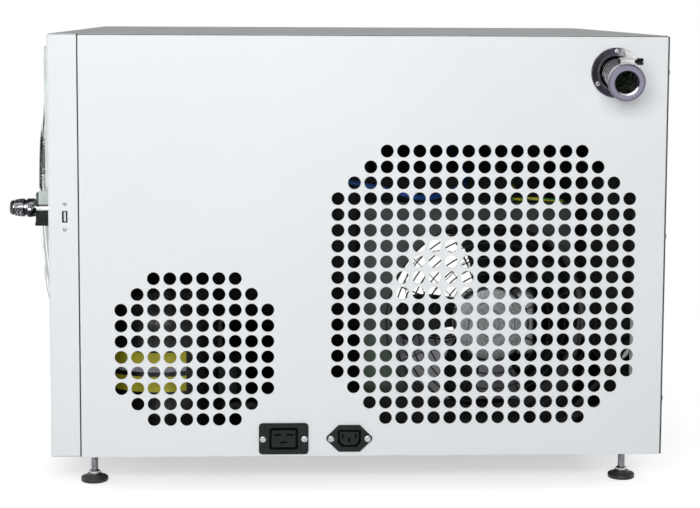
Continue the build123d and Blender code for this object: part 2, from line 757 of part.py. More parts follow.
def fan_guard():
    # Rings and spokes that stand off the shroud and carry the motor in the middle.
    outer = fan_opening_radius + 7
    inner = motor_radius + guard_wire_radius + 0.1
    guard = wire_ring(inner, guard_stand_off)
    count = int((outer - inner) / guard_ring_pitch)
    for index in range(1, count + 1):
        guard += wire_ring(outer - (count - index) * guard_ring_pitch, guard_stand_off)
    for index in range(8):
        angle = 22.5 + 45 * index
        guard += spoke(inner, outer, guard_stand_off, angle)
        foot = rod(Vector(outer, 0, 0), Vector(outer, 0, guard_stand_off), guard_wire_radius * 1.5)
        guard += Rot(0, 0, angle) * foot
    return fan_plane().location * guard


def exhaust_guard():
    plane = facing(spot(sheet - side_x + guard_wire_radius, exhaust_u, exhaust_v), Vector(1, 0, 0))
    outer = exhaust_guard_radius
    guard = wire_ring(outer, 0)
    for index in range(1, int(outer / exhaust_ring_pitch)):
        guard += wire_ring(outer - index * exhaust_ring_pitch, 0)
    for index in range(4):
        guard += spoke(-outer, outer, 0, 45 * index)
    return plane.location * guard


# ---- refrigeration ---------------------------------------------------------------------------

def compressor():
    plane = Plane(origin=spot(compressor_x, compressor_u, compressor_base_v))
    radius = compressor_radius
    height = compressor_straight + compressor_dome + 4
    can = Pos(0, 0, height / 2) * Cylinder(radius, height)
    can = fillet(can.edges().sort_by(Axis.Z)[-1], compressor_dome)
    can = fillet(can.edges().sort_by(Axis.Z)[0], 6.0)
    seam = Pos(0, 0, compressor_straight * 0.6) * Cylinder(radius + compressor_seam, 5)
    ears = Pos(0, 0, 2) * Box(2 * radius * compressor_foot_share, 2 * radius * compressor_foot_share, 4)
    body = can + seam + ears
    for dx, du in mount_places():
        body -= Pos(dx, du, 2) * Cylinder(4.2, 20)
    return plane.location * body


def mount_places():
    reach = compressor_radius * compressor_foot_share - 10
    return [(sx * reach, sy * reach) for sx in (-1, 1) for sy in (-1, 1)]


def compressor_mounts():
    mounts = []
    for dx, du in mount_places():
        profile = [(0, 0), (9, 0), (9, compressor_base_v - sheet - 2), (7, compressor_base_v - sheet),
                   (4, compressor_base_v - sheet), (4, compressor_base_v - sheet + 4),
                   (6, compressor_base_v - sheet + 4), (6, compressor_base_v - sheet + 7),
                   (0, compressor_base_v - sheet + 7)]
        mounts.append(turned(profile, Plane(origin=spot(compressor_x + dx, compressor_u + du, sheet))))
    return mounts


def terminal_cover():
    v = compressor_base_v + compressor_straight * 0.45
    cover = block((compressor_x - terminal_half_width, compressor_x + terminal_half_width),
                  (compressor_u, compressor_u + compressor_radius + terminal_reach),
                  (v - terminal_below, v + terminal_above))
    cover = fillet(cover.edges().filter_by(Axis.Z), 5.0)
    low = spot(compressor_x, compressor_u, v - 30)
    return cover - rod(low, low + Vector(0, 0, 80), compressor_radius + compressor_seam + seat_gap)


def tube_rows():
    gap = (condenser_high_v - condenser_low_v) / condenser_rows
    return [condenser_low_v + gap * (row + 0.5) for row in range(condenser_rows)]


def condenser_fins():
    middle_u = (condenser_front_u + condenser_back_u) / 2
    fin = block((0, fin_thickness), (condenser_front_u, condenser_back_u),
                (condenser_low_v, condenser_high_v))
    for v in tube_rows():
        fin -= rod(spot(-1, middle_u, v), spot(2, middle_u, v), condenser_tube_radius + running_gap)
    count = int(2 * (condenser_half_length - 8) / fin_pitch)
    start = condenser_x - (count - 1) * fin_pitch / 2
    return [Pos(start + index * fin_pitch, 0, 0) * fin for index in range(count)]


def condenser_frame():
    # Two end plates and the rails between them.
    frame = None
    for side in (-1, 1):
        x = condenser_x + side * condenser_half_length
        plate = block((x - sheet, x + sheet), (condenser_front_u, cover_back_u),
                      (sheet, condenser_high_v + 6))
        for v in tube_rows():
            plate -= rod(spot(x - 5, (condenser_front_u + condenser_back_u) / 2, v),
                         spot(x + 5, (condenser_front_u + condenser_back_u) / 2, v),
                         condenser_tube_radius + running_gap)
        frame = plate if frame is None else frame + plate
    rails = (condenser_x - condenser_half_length, condenser_x + condenser_half_length)
    for low_v in (condenser_low_v - 6, condenser_high_v + 3):
        frame += block(rails, (condenser_front_u, condenser_back_u), (low_v, low_v + 3))
    return frame


def condenser_tubes():
    # One tube that runs to and fro through the fins.
    middle_u = (condenser_front_u + condenser_back_u) / 2
    bend = (tube_rows()[1] - tube_rows()[0]) / 2
    reach = condenser_half_length + 6
    points = []
    side = 1
    for v in tube_rows():
        near = spot(condenser_x + side * reach, middle_u, v)
        far = spot(condenser_x - side * reach, middle_u, v)
        out = Vector(bend, 0, 0)
        points += [near + (out if side > 0 else -out), far - (out if side > 0 else -out)]
        side = -side
    radii = [bend * 0.96] * (len(points) - 2)
    return bent_tube(points, radii, condenser_tube_radius)


def coil_ends():
    radius = chamber_radius + chamber_wall + coil_tube_radius + seat_gap
    front = cover_front_u + collar_thickness + 2 * coil_pitch
    return radius, front, front + coil_turns() * coil_pitch


def coil_turns():
    front = cover_front_u + collar_thickness + 2 * coil_pitch
    return int((chamber_length - front) / coil_pitch)


def refrigerant_lines():
    # Hot gas to the condenser, liquid to the drier, a capillary to the coil, and cold gas back.
    rows = tube_rows()
    middle_u = (condenser_front_u + condenser_back_u) / 2
    bend = (rows[1] - rows[0]) / 2
    end_x = condenser_x + condenser_half_length + 6 + bend + seat_gap
    floor_v = sheet + drier_radius
    can_back_u = compressor_u + compressor_radius + seat_gap
    can_top_v = compressor_base_v + compressor_straight + compressor_dome + 4 + seat_gap
    coil_x, coil_front, coil_back = coil_ends()
    return_x = compressor_x - return_line_offset

    hot = [spot(compressor_x, can_back_u, 34), spot(compressor_x, can_back_u + 42, 34),
           spot(compressor_x + 35, 262, floor_v), spot(compressor_x + 45, 540, floor_v),
           spot(end_x + 20, middle_u, 62),
           spot(end_x + 20, middle_u, rows[-1]), spot(end_x, middle_u, rows[-1])]
    liquid = [spot(end_x, middle_u, rows[0]), spot(end_x + 12, middle_u, rows[0]),
              spot(end_x - 6, middle_u - 60, 40), spot(drier_x, drier_back_u + 18, floor_v),
              spot(drier_x, drier_back_u + seat_gap, floor_v)]
    capillary = [spot(drier_x, drier_front_u - seat_gap, floor_v), spot(drier_x, 380, floor_v),
                 spot(drier_x - 43, 326, 24), spot(coil_x, coil_back, 70),
                 spot(coil_x, coil_back, chamber_v - seat_gap)]
    cold = [spot(coil_x, coil_front, chamber_v + seat_gap), spot(coil_x, coil_front, chamber_v + 117),
            spot(return_x, compressor_u, chamber_v + 117), spot(return_x, compressor_u, can_top_v)]
    return [bent_tube(hot, [16, 22, 24, 24, 12], 4.0), bent_tube(liquid, [7, 14, 12], 3.0),
            bent_tube(capillary, [30, 30, 24], 2.0), bent_tube(cold, [20, 20], condenser_tube_radius)]


def filter_drier():
    half = (drier_back_u - drier_front_u) / 2
    profile = [(0, -half), (4, -half), (4, 18 - half), (drier_radius, 28 - half), (drier_radius, half - 28),
               (4, half - 18), (4, half), (0, half)]
    middle_u = (drier_front_u + drier_back_u) / 2
    return turned(profile, facing(spot(drier_x, middle_u, sheet + drier_radius), Vector(0, 1, 0)))


# ---- electrical ------------------------------------------------------------------------------

def large_outlet_body():
    return RectangleRounded(35.0, 27.4, 3.0)


def small_outlet_body():
    return clipped_rectangle(29.0, 23.0, 5.0)


def clipped_rectangle(across, tall, clip):
    # Two square corners above and two cut corners below.
    half_x = across / 2
    half_y = tall / 2
    return make_face(Polyline((-half_x, half_y), (half_x, half_y), (half_x, clip - half_y),
                              (half_x - clip, -half_y), (clip - half_x, -half_y),
                              (-half_x, clip - half_y), close=True))


def panel_socket(flange, body, well, insert, slots, screw_spacing):
    socket = extrude(flange, socket_flange) + extrude(body, -socket_depth)
    front = Pos(0, 0, socket_flange)
    socket -= front * extrude(well - insert, -(socket_flange + groove_depth))
    for slot in slots:
        socket -= front * extrude(slot, -(socket_flange + groove_depth))
    for side in (-1, 1):
        socket -= Pos(side * screw_spacing / 2, 0, 0) * Cylinder(1.8, 4 * socket_flange)
    return socket


def outlet_large():
    flange = RectangleRounded(54.3, 34.4, 4.0)
    slots = [Pos(-6.8, 4.4) * Rectangle(8.0, 2.0), Pos(6.8, 4.4) * Rectangle(8.0, 2.0),
             Pos(0, -4.0) * Rectangle(8.0, 2.0)]
    piece = panel_socket(flange, large_outlet_body(), RectangleRounded(31.6, 24.3, 3.0),
                         RectangleRounded(26.0, 18.8, 1.0), slots, large_outlet_spacing)
    return facing(spot(side_x, large_outlet_u, outlet_v), Vector(1, 0, 0)).location * piece


def outlet_small():
    tip = 25.0
    half_top = 11.6
    half_tall = 14.75
    flange = make_face(Polyline((-half_top, half_tall), (half_top, half_tall), (tip, 1.6), (tip, -1.6),
                                (half_top, -half_tall), (-half_top, -half_tall), (-tip, -1.6),
                                (-tip, 1.6), close=True))
    flange = fillet(flange.vertices(), 1.5)
    slots = [Pos(-7.0, 2.4) * Rectangle(2.0, 5.0), Pos(7.0, 2.4) * Rectangle(2.0, 5.0),
             Pos(0, -1.8) * Rectangle(2.0, 5.0)]
    piece = panel_socket(flange, small_outlet_body(), clipped_rectangle(25.6, 19.2, 5.0),
                         clipped_rectangle(20.4, 14.6, 4.0), slots, small_outlet_spacing)
    return facing(spot(side_x, small_outlet_u, outlet_v), Vector(1, 0, 0)).location * piece


def mains_inlet():
    flange = RectangleRounded(54.3, 34.4, 4.0)
    piece = extrude(flange, socket_flange) + extrude(large_outlet_body(), -socket_depth)
    depth_in = socket_flange + 18
    piece -= Pos(0, 0, socket_flange) * extrude(RectangleRounded(30.0, 22.6, 2.0), -depth_in)
    pins = [(-6.8, 4.4), (6.8, 4.4), (0, -4.0)]
    for x, y in pins:
        piece += Pos(x, y, -9) * Box(8.0, 2.0, 18)
    for side in (-1, 1):
        piece -= Pos(side * large_outlet_spacing / 2, 0, 0) * Cylinder(1.8, 4 * socket_flange)
    return facing(spot(inlet_x, depth, inlet_v), Vector(0, 1, 0)).location * piece


def socket_screws():
    screws = []
    for u, spacing in ((large_outlet_u, large_outlet_spacing), (small_outlet_u, small_outlet_spacing)):
        for side in (-1, 1):
            plane = facing(spot(side_x + socket_flange, u + side * spacing / 2, outlet_v), Vector(1, 0, 0))
            screws.append(pan_screw(plane, 3.7, 2.4, 1.7, 8.0))
    for side in (-1, 1):
        plane = facing(spot(inlet_x + side * large_outlet_spacing / 2, depth + socket_flange, inlet_v),
                       Vector(0, 1, 0))
        screws.append(pan_screw(plane, 3.7, 2.4, 1.7, 8.0))
    return screws


def usb_socket():
    plane = facing(spot(side_x, usb_u, usb_v), Vector(1, 0, 0))
    shell = Pos(0, 0, -7) * Box(usb_shell[0], usb_shell[1], 15)
    shell -= Pos(0, 0, -5) * Box(usb_shell[0] - 1.0, usb_shell[1] - 1.0, 15)
    tongue = Pos(-0.9, 0, -7) * Box(1.8, usb_shell[1] - 2.2, 12)
    back_plate = Pos(0, 0, -sheet - 0.8) * Box(9.0, 36.0, 1.6)
    back_plate -= Box(usb_shell[0] - 1.0, usb_shell[1] - 1.0, 20)
    socket = shell + back_plate + tongue
    for side in (-1, 1):
        socket -= Pos(0, side * usb_screw_offset, 0) * Cylinder(usb_screw_radius, 20)
    return plane.location * socket


def usb_screw_planes():
    return [facing(spot(side_x, usb_u, usb_v + side * usb_screw_offset), Vector(1, 0, 0))
            for side in (-1, 1)]


def usb_screws():
    return [pan_screw(plane, 2.3, 1.1, usb_screw_radius, 5.0) for plane in usb_screw_planes()]


def switch_plane():
    return facing(spot(switch_x, 0, switch_v), Vector(0, -1, 0))


def switch_frame():
    flange = 1.6
    outer = fillet((Pos(0, 0, flange / 2) * Box(15.4, 21.6, flange)).edges().filter_by(Axis.Z), 1.2)
    body = Pos(0, 0, -8) * Box(switch_body[0] - 0.2, switch_body[1] - 0.2, 16)
    frame = outer + body
    frame -= Box(10.8, 17.0, 16)
    return switch_plane().location * frame


def switch_rocker():
    # A rocker whose ends stand proud in turn, turning about a cross pin at its middle.
    half = 7.6
    outline = make_face(Polyline((-half, -3.2), (half, -3.2), (half, 4.2), (0, 2.6), (-half, 4.2),
                                 close=True))
    rocker = extrude(Plane.YZ * outline, 5.0, both=True)
    rocker = Rot(rocker_tilt, 0, 0) * rocker
    return switch_plane().location * rocker


def screen_housing():
    plane = facing(spot(screen_x, 0, screen_v), Vector(0, -1, 0))
    frame = Pos(0, 0, screen_proud / 2) * Box(screen_width, screen_height, screen_proud)
    frame = fillet(frame.edges().filter_by(Axis.Z), 6.0)
    frame = fillet(frame.faces().sort_by(Axis.Z)[-1].edges(), 1.2)
    frame -= Pos(0, 0, screen_proud) * Box(screen_width - 10, screen_height - 10, 3.0)
    frame -= Box(screen_width - 24, screen_height - 24, 20)
    return plane.location * frame


def screen_glass():
    plane = facing(spot(screen_x, 0, screen_v), Vector(0, -1, 0))
    glass = Pos(0, 0, screen_proud - 0.85) * Box(screen_width - 10.2, screen_height - 10.2, 1.3)
    return plane.location * glass


def control_board():
    plane = facing(spot(screen_x, 0, screen_v), Vector(0, -1, 0))
    board = Box(board_width, board_height, board_thickness)
    board = Pos(0, 0, -board_stand_off - board_thickness / 2) * board
    for sx in (-1, 1):
        for sy in (-1, 1):
            corner = Pos(sx * (board_width / 2 - 5), sy * (board_height / 2 - 6), 0)
            board += corner * Pos(0, 0, -(board_stand_off + sheet) / 2) * Cylinder(3, board_stand_off - sheet)
    board += Pos(10, 20, -16) * Box(34, 40, 5)
    board += Pos(-22, -40, -17) * Box(18, 26, 7)
    board += Pos(18, -44, -15.6) * Cylinder(6, 4)
    return plane.location * board


def control_box():
    low_v = fan_v + fan_opening_radius + 14
    box = block((sheet - side_x, sheet - side_x + box_depth), (box_front_u, box_back_u),
                (low_v, low_v + box_height))
    box = fillet(box.edges().filter_by(Axis.X), 4.0)
    return box


def wiring_loom():
    # Blue control leads and the yellow and green earth lead, lying over the shroud.
    box_x = sheet - side_x + box_depth + seat_gap
    rest_v = shroud_height + 3.2
    blue = [spot(box_x, 470, 320), spot(-150, 470, 312), spot(-70, 480, 296), spot(10, 486, 284),
            spot(shroud_x - 70, 476, 278), spot(shroud_x - 20, 456, 276),
            spot(shroud_x + shroud_flange, 420, rest_v), spot(loom_x - 29, 370, 284),
            spot(loom_x - 19, 310, 297), spot(loom_x - 15, 250, 300), spot(loom_x - 11, 190, 298),
            spot(loom_x - 7, 130, 292), spot(loom_x, 70, loom_v), spot(loom_x, 19, loom_v)]
    earth = [spot(box_x, 540, 300), spot(-160, 540, 292), spot(-80, 534, 282), spot(0, 530, 280),
             spot(shroud_x - 80, 536, 276), spot(shroud_x - 30, 528, 272),
             spot(shroud_x + 10, 516, rest_v - 1), spot(shroud_x + 26, 545, 271),
             spot(shroud_x + 17, 580, rest_v - 1.4)]
    leads = [bent_tube(blue, easy_radii(blue), 3.0)]
    leads.append(bent_tube(earth, easy_radii(earth), 2.0))
    return leads


# ---- vacuum port -----------------------------------------------------------------------------

def port_plane(distance=0.0):
    origin = spot(side_x, port_u, port_v) + port_axis * distance
    across = Vector(0, 1, 0) - port_axis * port_axis.Y
    return Plane(origin=origin, x_dir=across, z_dir=port_axis)


def port_screw_planes():
    planes = []
    for angle in (90.0, 210.0, 330.0):
        du = port_screw_circle * cos(radians(angle))
        dv = port_screw_circle * sin(radians(angle))
        origin = spot(side_x + port_flange_thickness, port_u + du, port_v + dv)
        planes.append((facing(origin, Vector(1, 0, 0)), 1.5))
    return planes


def vacuum_bulkhead():
    profile = [(port_bore_radius, 0), (port_flange_radius, 0),
               (port_flange_radius, port_flange_thickness - 0.6),
               (port_flange_radius - 0.6, port_flange_thickness),
               (port_bore_radius + 1.6, port_flange_thickness),
               (port_bore_radius + 1.2, port_flange_thickness + 0.6),
               (port_bore_radius, port_flange_thickness + 0.6)]
    ring = turned(profile, facing(spot(side_x, port_u, port_v), Vector(1, 0, 0)))
    ring -= [plane.location * Cylinder(radius, 20) for plane, radius in port_screw_planes()]
    return ring


def port_screws():
    return [pan_screw(plane, 2.7, 1.8, radius - 0.1, 6.0) for plane, radius in port_screw_planes()]


def vacuum_hose():
    # A ribbed metal hose from the chamber's nozzle out through the side of the cabinet.
    exit_point = spot(side_x, port_u, port_v)
    rib_end = port_reach - 6.0
    inside = exit_point - port_axis * 96
    points = [spot(nozzle_x, insulation_back_u + 2, nozzle_v), spot(nozzle_x, 430, nozzle_v),
              spot(112, 530, nozzle_v + 36), inside, exit_point + port_axis * rib_end]
    hose = bent_tube(points, [70, 60, 56], hose_radius - hose_rib, hose_wall)
    profile = [(hose_radius - hose_rib - 0.5, -10), (hose_radius - hose_rib - 0.5, rib_end)]
    pitch = hose_rib_pitch
    distance = rib_end
    while distance - pitch >= -10:
        profile += [(hose_radius - hose_rib, distance), (hose_radius, distance - pitch * 0.3),
                    (hose_radius, distance - pitch * 0.7)]
        distance -= pitch
    profile += [(hose_radius - hose_rib, distance), (hose_radius - hose_rib, -10)]
    hose += turned(profile, port_plane())
    return hose


def kf_flange():
    face = port_reach
    back = face - 3.0
    outer = hose_inner - running_gap
    profile = [(kf_bore_radius, face - 5 - kf_stub + 1), (outer, face - 5 - kf_stub + 1),
               (outer, back - 2.9), (hose_radius + 1, back - 2.9), (kf_radius, back),
               (kf_radius, face - 0.4), (kf_radius - 0.4, face), (kf_bore_radius + 0.8, face),
               (kf_bore_radius + 0.8, face - 2.0), (kf_bore_radius, face - 2.0)]
    return turned(profile, port_plane())


def clamp_middle():
    return port_reach - clamp_back


def clamp_radii():
    inner = hose_radius + running_gap
    return inner, inner + clamp_band_thickness


def hose_clamp_band():
    half = clamp_band_width / 2
    inner, outer = clamp_radii()
    middle = clamp_middle()
    band = turned([(inner, middle - half), (outer, middle - half), (outer, middle + half),
                   (inner, middle + half)], port_plane())
    housing = Pos(housing_offset, outer + 3.1, middle) * Box(*housing_size)
    housing = fillet(housing.edges().filter_by(Axis.X), 1.5)
    worm_hole = Cylinder(clamp_screw_radius + running_gap, 40)
    housing -= Pos(housing_offset, outer + clamp_screw_height, middle) * Rot(0, 90, 0) * worm_hole
    housing -= Pos(0, 0, middle) * Cylinder(inner, 40)
    return band + port_plane().location * housing


def hose_clamp_screw():
    outer = clamp_radii()[1]
    middle = clamp_middle()
    axis = Pos(0, outer + clamp_screw_height, middle) * Rot(0, 90, 0)
    worm = axis * Pos(0, 0, 1.5) * Cylinder(clamp_screw_radius, 17.0)
    head = axis * Pos(0, 0, 13.5) * extrude(RegularPolygon(4.0, 6), 6.0)
    head -= axis * Pos(0, 0, 19.2) * Box(9, 1.2, 2.4)
    neck = axis * Pos(0, 0, 11.5) * Cylinder(2.0, 5.0)
    return port_plane().location * (worm + neck + head)


# ---- build -----------------------------------------------------------------------------------

parts = {}
for builder in (cabinet_cover, front_fascia, front_bulkhead, base_chassis, rear_panel, rear_screws,
                foot_nuts, chamber_vessel, chamber_insulation, evaporator_coil, door_gasket,
                hinge_strap, hinge_bracket, hinge_pin, latch_post, latch_knob, shelf_rack, heater_mats,
                fan_shroud, fan_rotor, fan_motor, fan_guard, exhaust_guard, compressor,
                compressor_mounts, terminal_cover, condenser_fins, condenser_frame, condenser_tubes,
                refrigerant_lines, filter_drier, outlet_large, outlet_small, mains_inlet,
                socket_screws, usb_socket, usb_screws, switch_frame, switch_rocker,
                screen_housing, screen_glass, control_board, control_box, wiring_loom,
                vacuum_bulkhead, port_screws, vacuum_hose, kf_flange, hose_clamp_band,
                hose_clamp_screw, strap_screws, door_window):
    parts[builder.__name__] = builder()
corners = ("front_right", "front_left", "back_right", "back_left")
for corner, (x, u) in zip(corners, foot_places()):
    parts["levelling_foot_" + corner] = levelling_foot(x, u)
for level in range(tray_count):
    parts[f"product_tray_{level + 1}"] = product_tray(level)

shapes = {name: as_compound(shape) for name, shape in parts.items()}
boxes = [shape.bounding_box() for shape in shapes.values()]
middle_x = (min(box.min.X for box in boxes) + max(box.max.X for box in boxes)) / 2
middle_y = (min(box.min.Y for box in boxes) + max(box.max.Y for box in boxes)) / 2
to_origin = Pos(-middle_x, -middle_y, 0)
os.makedirs("parts", exist_ok=True)
for name, shape in shapes.items():
    export_step(to_origin * shape, f"parts/{name}.step")
print("moved by", -middle_x, -middle_y)
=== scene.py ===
import json
import math
import bpy
from mathutils import Matrix, Vector


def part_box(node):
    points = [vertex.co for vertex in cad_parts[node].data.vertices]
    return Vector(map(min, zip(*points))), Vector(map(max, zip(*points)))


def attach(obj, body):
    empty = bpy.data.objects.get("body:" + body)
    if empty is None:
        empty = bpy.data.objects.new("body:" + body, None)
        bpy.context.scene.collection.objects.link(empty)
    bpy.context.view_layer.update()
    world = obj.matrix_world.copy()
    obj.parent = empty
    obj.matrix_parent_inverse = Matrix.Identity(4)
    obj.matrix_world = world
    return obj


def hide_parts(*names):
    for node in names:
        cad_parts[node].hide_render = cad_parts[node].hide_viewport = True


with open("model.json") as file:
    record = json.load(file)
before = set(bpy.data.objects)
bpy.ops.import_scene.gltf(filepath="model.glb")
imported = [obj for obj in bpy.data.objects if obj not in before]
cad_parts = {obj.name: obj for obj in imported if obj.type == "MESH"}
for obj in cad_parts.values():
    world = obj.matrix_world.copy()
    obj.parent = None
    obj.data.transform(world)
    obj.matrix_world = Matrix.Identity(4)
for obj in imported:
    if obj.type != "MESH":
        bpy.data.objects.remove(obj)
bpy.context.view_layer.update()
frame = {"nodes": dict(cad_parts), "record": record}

cadNodes = frame["nodes"]
record = frame["record"]
jointSpot = {joint["name"]: Vector(joint["pos_m"]) for joint in record["behaviour"]["joints"]}
mm = 0.001
tau = 2 * math.pi


def nodeBox(name):
    low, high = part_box(name)
    return Vector(low), Vector(high)


# faces that many pieces are placed from
coverLow, coverHigh = nodeBox("cabinet_cover")
frontY = nodeBox("front_fascia")[0].y
sideX = coverHigh.x         # outer face of the right side
sheetWall = 1.5 * mm        # thickness of the cabinet's sheet


# shader helpers and groups

def plug(tree, value, socket):
    # a number is set on the socket, anything else is linked into it
    if isinstance(value, (int, float)):
        socket.default_value = value
    else:
        tree.links.new(value, socket)


def mathNode(tree, operation, *values):
    node = tree.nodes.new("ShaderNodeMath")
    node.operation = operation
    for index, value in enumerate(values):
        plug(tree, value, node.inputs[index])
    return node.outputs[0]


def product(tree, first, *others):
    for other in others:
        first = mathNode(tree, "MULTIPLY", first, other)
    return first


def minus(tree, first, second):
    return mathNode(tree, "SUBTRACT", first, second)


def gap(tree, first, second):
    return mathNode(tree, "ABSOLUTE", minus(tree, first, second))


def isOver(tree, value, limit):
    return mathNode(tree, "GREATER_THAN", value, limit)


def isUnder(tree, value, limit):
    return mathNode(tree, "LESS_THAN", value, limit)


def vectorNode(tree, operation, first, second=None, output="Vector"):
    node = tree.nodes.new("ShaderNodeVectorMath")
    node.operation = operation
    tree.links.new(first, node.inputs[0])
    if second is not None:
        tree.links.new(second, node.inputs[1])
    return node.outputs[output]


def splitNode(tree, vector):
    node = tree.nodes.new("ShaderNodeSeparateXYZ")
    tree.links.new(vector, node.inputs[0])
    return node.outputs


def objectPlace(tree):
    return tree.nodes.new("ShaderNodeTexCoord").outputs["Object"]


def axisHeight(tree, axis):
    # how far along one axis the shaded point lies
    return splitNode(tree, objectPlace(tree))[axis]


def rangeNode(tree, value, low, high, newLow=0.0, newHigh=1.0):
    node = tree.nodes.new("ShaderNodeMapRange")
    limits = {"From Min": low, "From Max": high, "To Min": newLow, "To Max": newHigh}
    for label, limit in limits.items():
        node.inputs[label].default_value = limit
    tree.links.new(value, node.inputs["Value"])
    return node.outputs["Result"]


def between(tree, mask, low, high):
    return rangeNode(tree, mask, 0.0, 1.0, low, high)


def noiseNode(tree, place, scale, detail=2.0, roughness=0.5, dimensions="3D"):
    node = tree.nodes.new("ShaderNodeTexNoise")
    node.noise_dimensions = dimensions
    node.inputs["Detail"].default_value = detail
    node.inputs["Roughness"].default_value = roughness
    plug(tree, scale, node.inputs["Scale"])
    tree.links.new(place, node.inputs["W" if dimensions == "1D" else "Vector"])
    return node.outputs[0]


def ringNoise(tree, radius, scale):
    # changes only outward from an axis, as a lathe leaves it
    return noiseNode(tree, radius, scale, 3.0, 0.5, "1D")


def newGroup(name, inputs, outputs):
    group = bpy.data.node_groups.new(name, "ShaderNodeTree")
    for label, value in inputs.items():
        kind = "NodeSocketVector" if isinstance(value, tuple) else "NodeSocketFloat"
        socket = group.interface.new_socket(label, in_out="INPUT", socket_type=kind)
        socket.default_value = value
    for label in outputs:
        kind = "NodeSocketVector" if label == "Normal" else "NodeSocketFloat"
        group.interface.new_socket(label, in_out="OUTPUT", socket_type=kind)
    entry, leave = group.nodes.new("NodeGroupInput"), group.nodes.new("NodeGroupOutput")
    return group, entry.outputs, leave.inputs


def grainSkinGroup():
    # fine peel or pitting over a slow mottle
    group, given, out = newGroup("grainSkin", {"Fine Scale": 900.0, "Mottle Scale": 6.0},
                                 ("Fine", "Mottle"))
    place = objectPlace(group)
    mottle = noiseNode(group, place, given["Mottle Scale"], 3.0)
    group.links.new(noiseNode(group, place, given["Fine Scale"]), out["Fine"])
    group.links.new(rangeNode(group, mottle, 0.35, 0.65), out["Mottle"])
    return group


def streakGroup():
    # brushed or drawn metal: noise pulled long along one direction
    group, given, out = newGroup("streaks", {"Stretch": (40.0, 40.0, 1.0), "Scale": 60.0},
                                 ("Streak",))
    pulled = vectorNode(group, "MULTIPLY", objectPlace(group), given["Stretch"])
    streak = noiseNode(group, pulled, given["Scale"], 4.0, 0.65)
    group.links.new(rangeNode(group, streak, 0.3, 0.7), out["Streak"])
    return group


def roundEdgeGroup():
    # rounded edge normals, and a mask of the edges that handling rubs or grime darkens
    group, given, out = newGroup("roundEdge", {"Wear": 0.5}, ("Normal", "Edge"))
    bevel = group.nodes.new("ShaderNodeBevel")
    bevel.samples = 4
    bevel.inputs["Radius"].default_value = 0.5 * mm
    surface = group.nodes.new("ShaderNodeNewGeometry")
    facing = vectorNode(group, "DOT_PRODUCT", bevel.outputs["Normal"], surface.outputs["Normal"],
                        "Value")
    bend = rangeNode(group, facing, 0.98, 0.75)
    patchy = noiseNode(group, objectPlace(group), 120.0, 3.0)
    patchy = rangeNode(group, patchy, 0.35, 0.65, 0.3, 1.0)
    group.links.new(bevel.outputs["Normal"], out["Normal"])
    group.links.new(product(group, bend, patchy, given["Wear"]), out["Edge"])
    return group


def dustGroup():
    # thin dust on faces that look up
    group, given, out = newGroup("dustFall", {"Amount": 0.3}, ("Dust",))
    surface = group.nodes.new("ShaderNodeNewGeometry")
    up = rangeNode(group, splitNode(group, surface.outputs["Normal"])["Z"], 0.45, 0.95)
    cloud = rangeNode(group, noiseNode(group, objectPlace(group), 25.0, 5.0, 0.6), 0.3, 0.75)
    group.links.new(product(group, up, cloud, given["Amount"]), out["Dust"])
    return group


def shellInsideGroup():
    # 1 on faces that lie inside the cabinet's walls, 0 outside
    group, given, out = newGroup("shellInside", {"Middle": (0, 0, 0), "Half": (1, 1, 1)},
                                 ("Inside",))
    offset = vectorNode(group, "SUBTRACT", objectPlace(group), given["Middle"])
    distance = splitNode(group, vectorNode(group, "ABSOLUTE", offset))
    half = splitNode(group, given["Half"])
    tests = [isUnder(group, distance[axis], half[axis]) for axis in "XYZ"]
    group.links.new(product(group, *tests), out["Inside"])
    return group


def roundAxisGroup():
    # where a point lies round an axis: distance from it, place along it, turn about it
    group, given, out = newGroup("roundAxis", {"Centre": (0, 0, 0), "Axis": (1, 0, 0)},
                                 ("Radius", "Along", "Angle"))
    offset = vectorNode(group, "SUBTRACT", objectPlace(group), given["Centre"])
    along = vectorNode(group, "DOT_PRODUCT", offset, given["Axis"], "Value")
    spoke = vectorNode(group, "SUBTRACT", offset,
                       vectorNode(group, "MULTIPLY", given["Axis"], along))
    split = splitNode(group, spoke)
    group.links.new(vectorNode(group, "LENGTH", spoke, output="Value"), out["Radius"])
    group.links.new(along, out["Along"])
    group.links.new(mathNode(group, "ARCTAN2", split["Z"], split["Y"]), out["Angle"])
    return group


grainSkin = grainSkinGroup()
roundAxis = roundAxisGroup()
streaks = streakGroup()
roundEdge = roundEdgeGroup()
dustFall = dustGroup()
shellInside = shellInsideGroup()


# materials

def newMaterial(name, colour, roughness, metallic=0.0, **plain):
    material = bpy.data.materials.new(name)
    material.use_nodes = True
    shader = material.node_tree.nodes["Principled BSDF"]
    shader.inputs["Base Color"].default_value = (*colour, 1)
    for label, value in dict(plain, Roughness=roughness, Metallic=metallic).items():
        shader.inputs[label.replace("_", " ")].default_value = value
    material.diffuse_color = (*colour, 1)
    return material, material.node_tree, shader


def useGroup(tree, group, **values):
    node = tree.nodes.new("ShaderNodeGroup")
    node.node_tree = group
    for label, value in values.items():
        node.inputs[label.replace("_", " ")].default_value = value
    return node.outputs


def grain(tree, fineScale, mottleScale):
    skin = useGroup(tree, grainSkin, Fine_Scale=fineScale, Mottle_Scale=mottleScale)
    return skin["Fine"], skin["Mottle"]


def roundedEdge(tree, wear=0.0):
    edge = useGroup(tree, roundEdge, Wear=wear)
    return edge["Normal"], edge["Edge"]


def mixColour(tree, mask, first, second):
    node = tree.nodes.new("ShaderNodeMix")
    node.data_type = "RGBA"
    tree.links.new(mask, node.inputs[0])
    for index, value in ((6, first), (7, second)):
        if isinstance(value, tuple):
            node.inputs[index].default_value = (*value, 1)
        else:
            tree.links.new(value, node.inputs[index])
    return node.outputs[2]


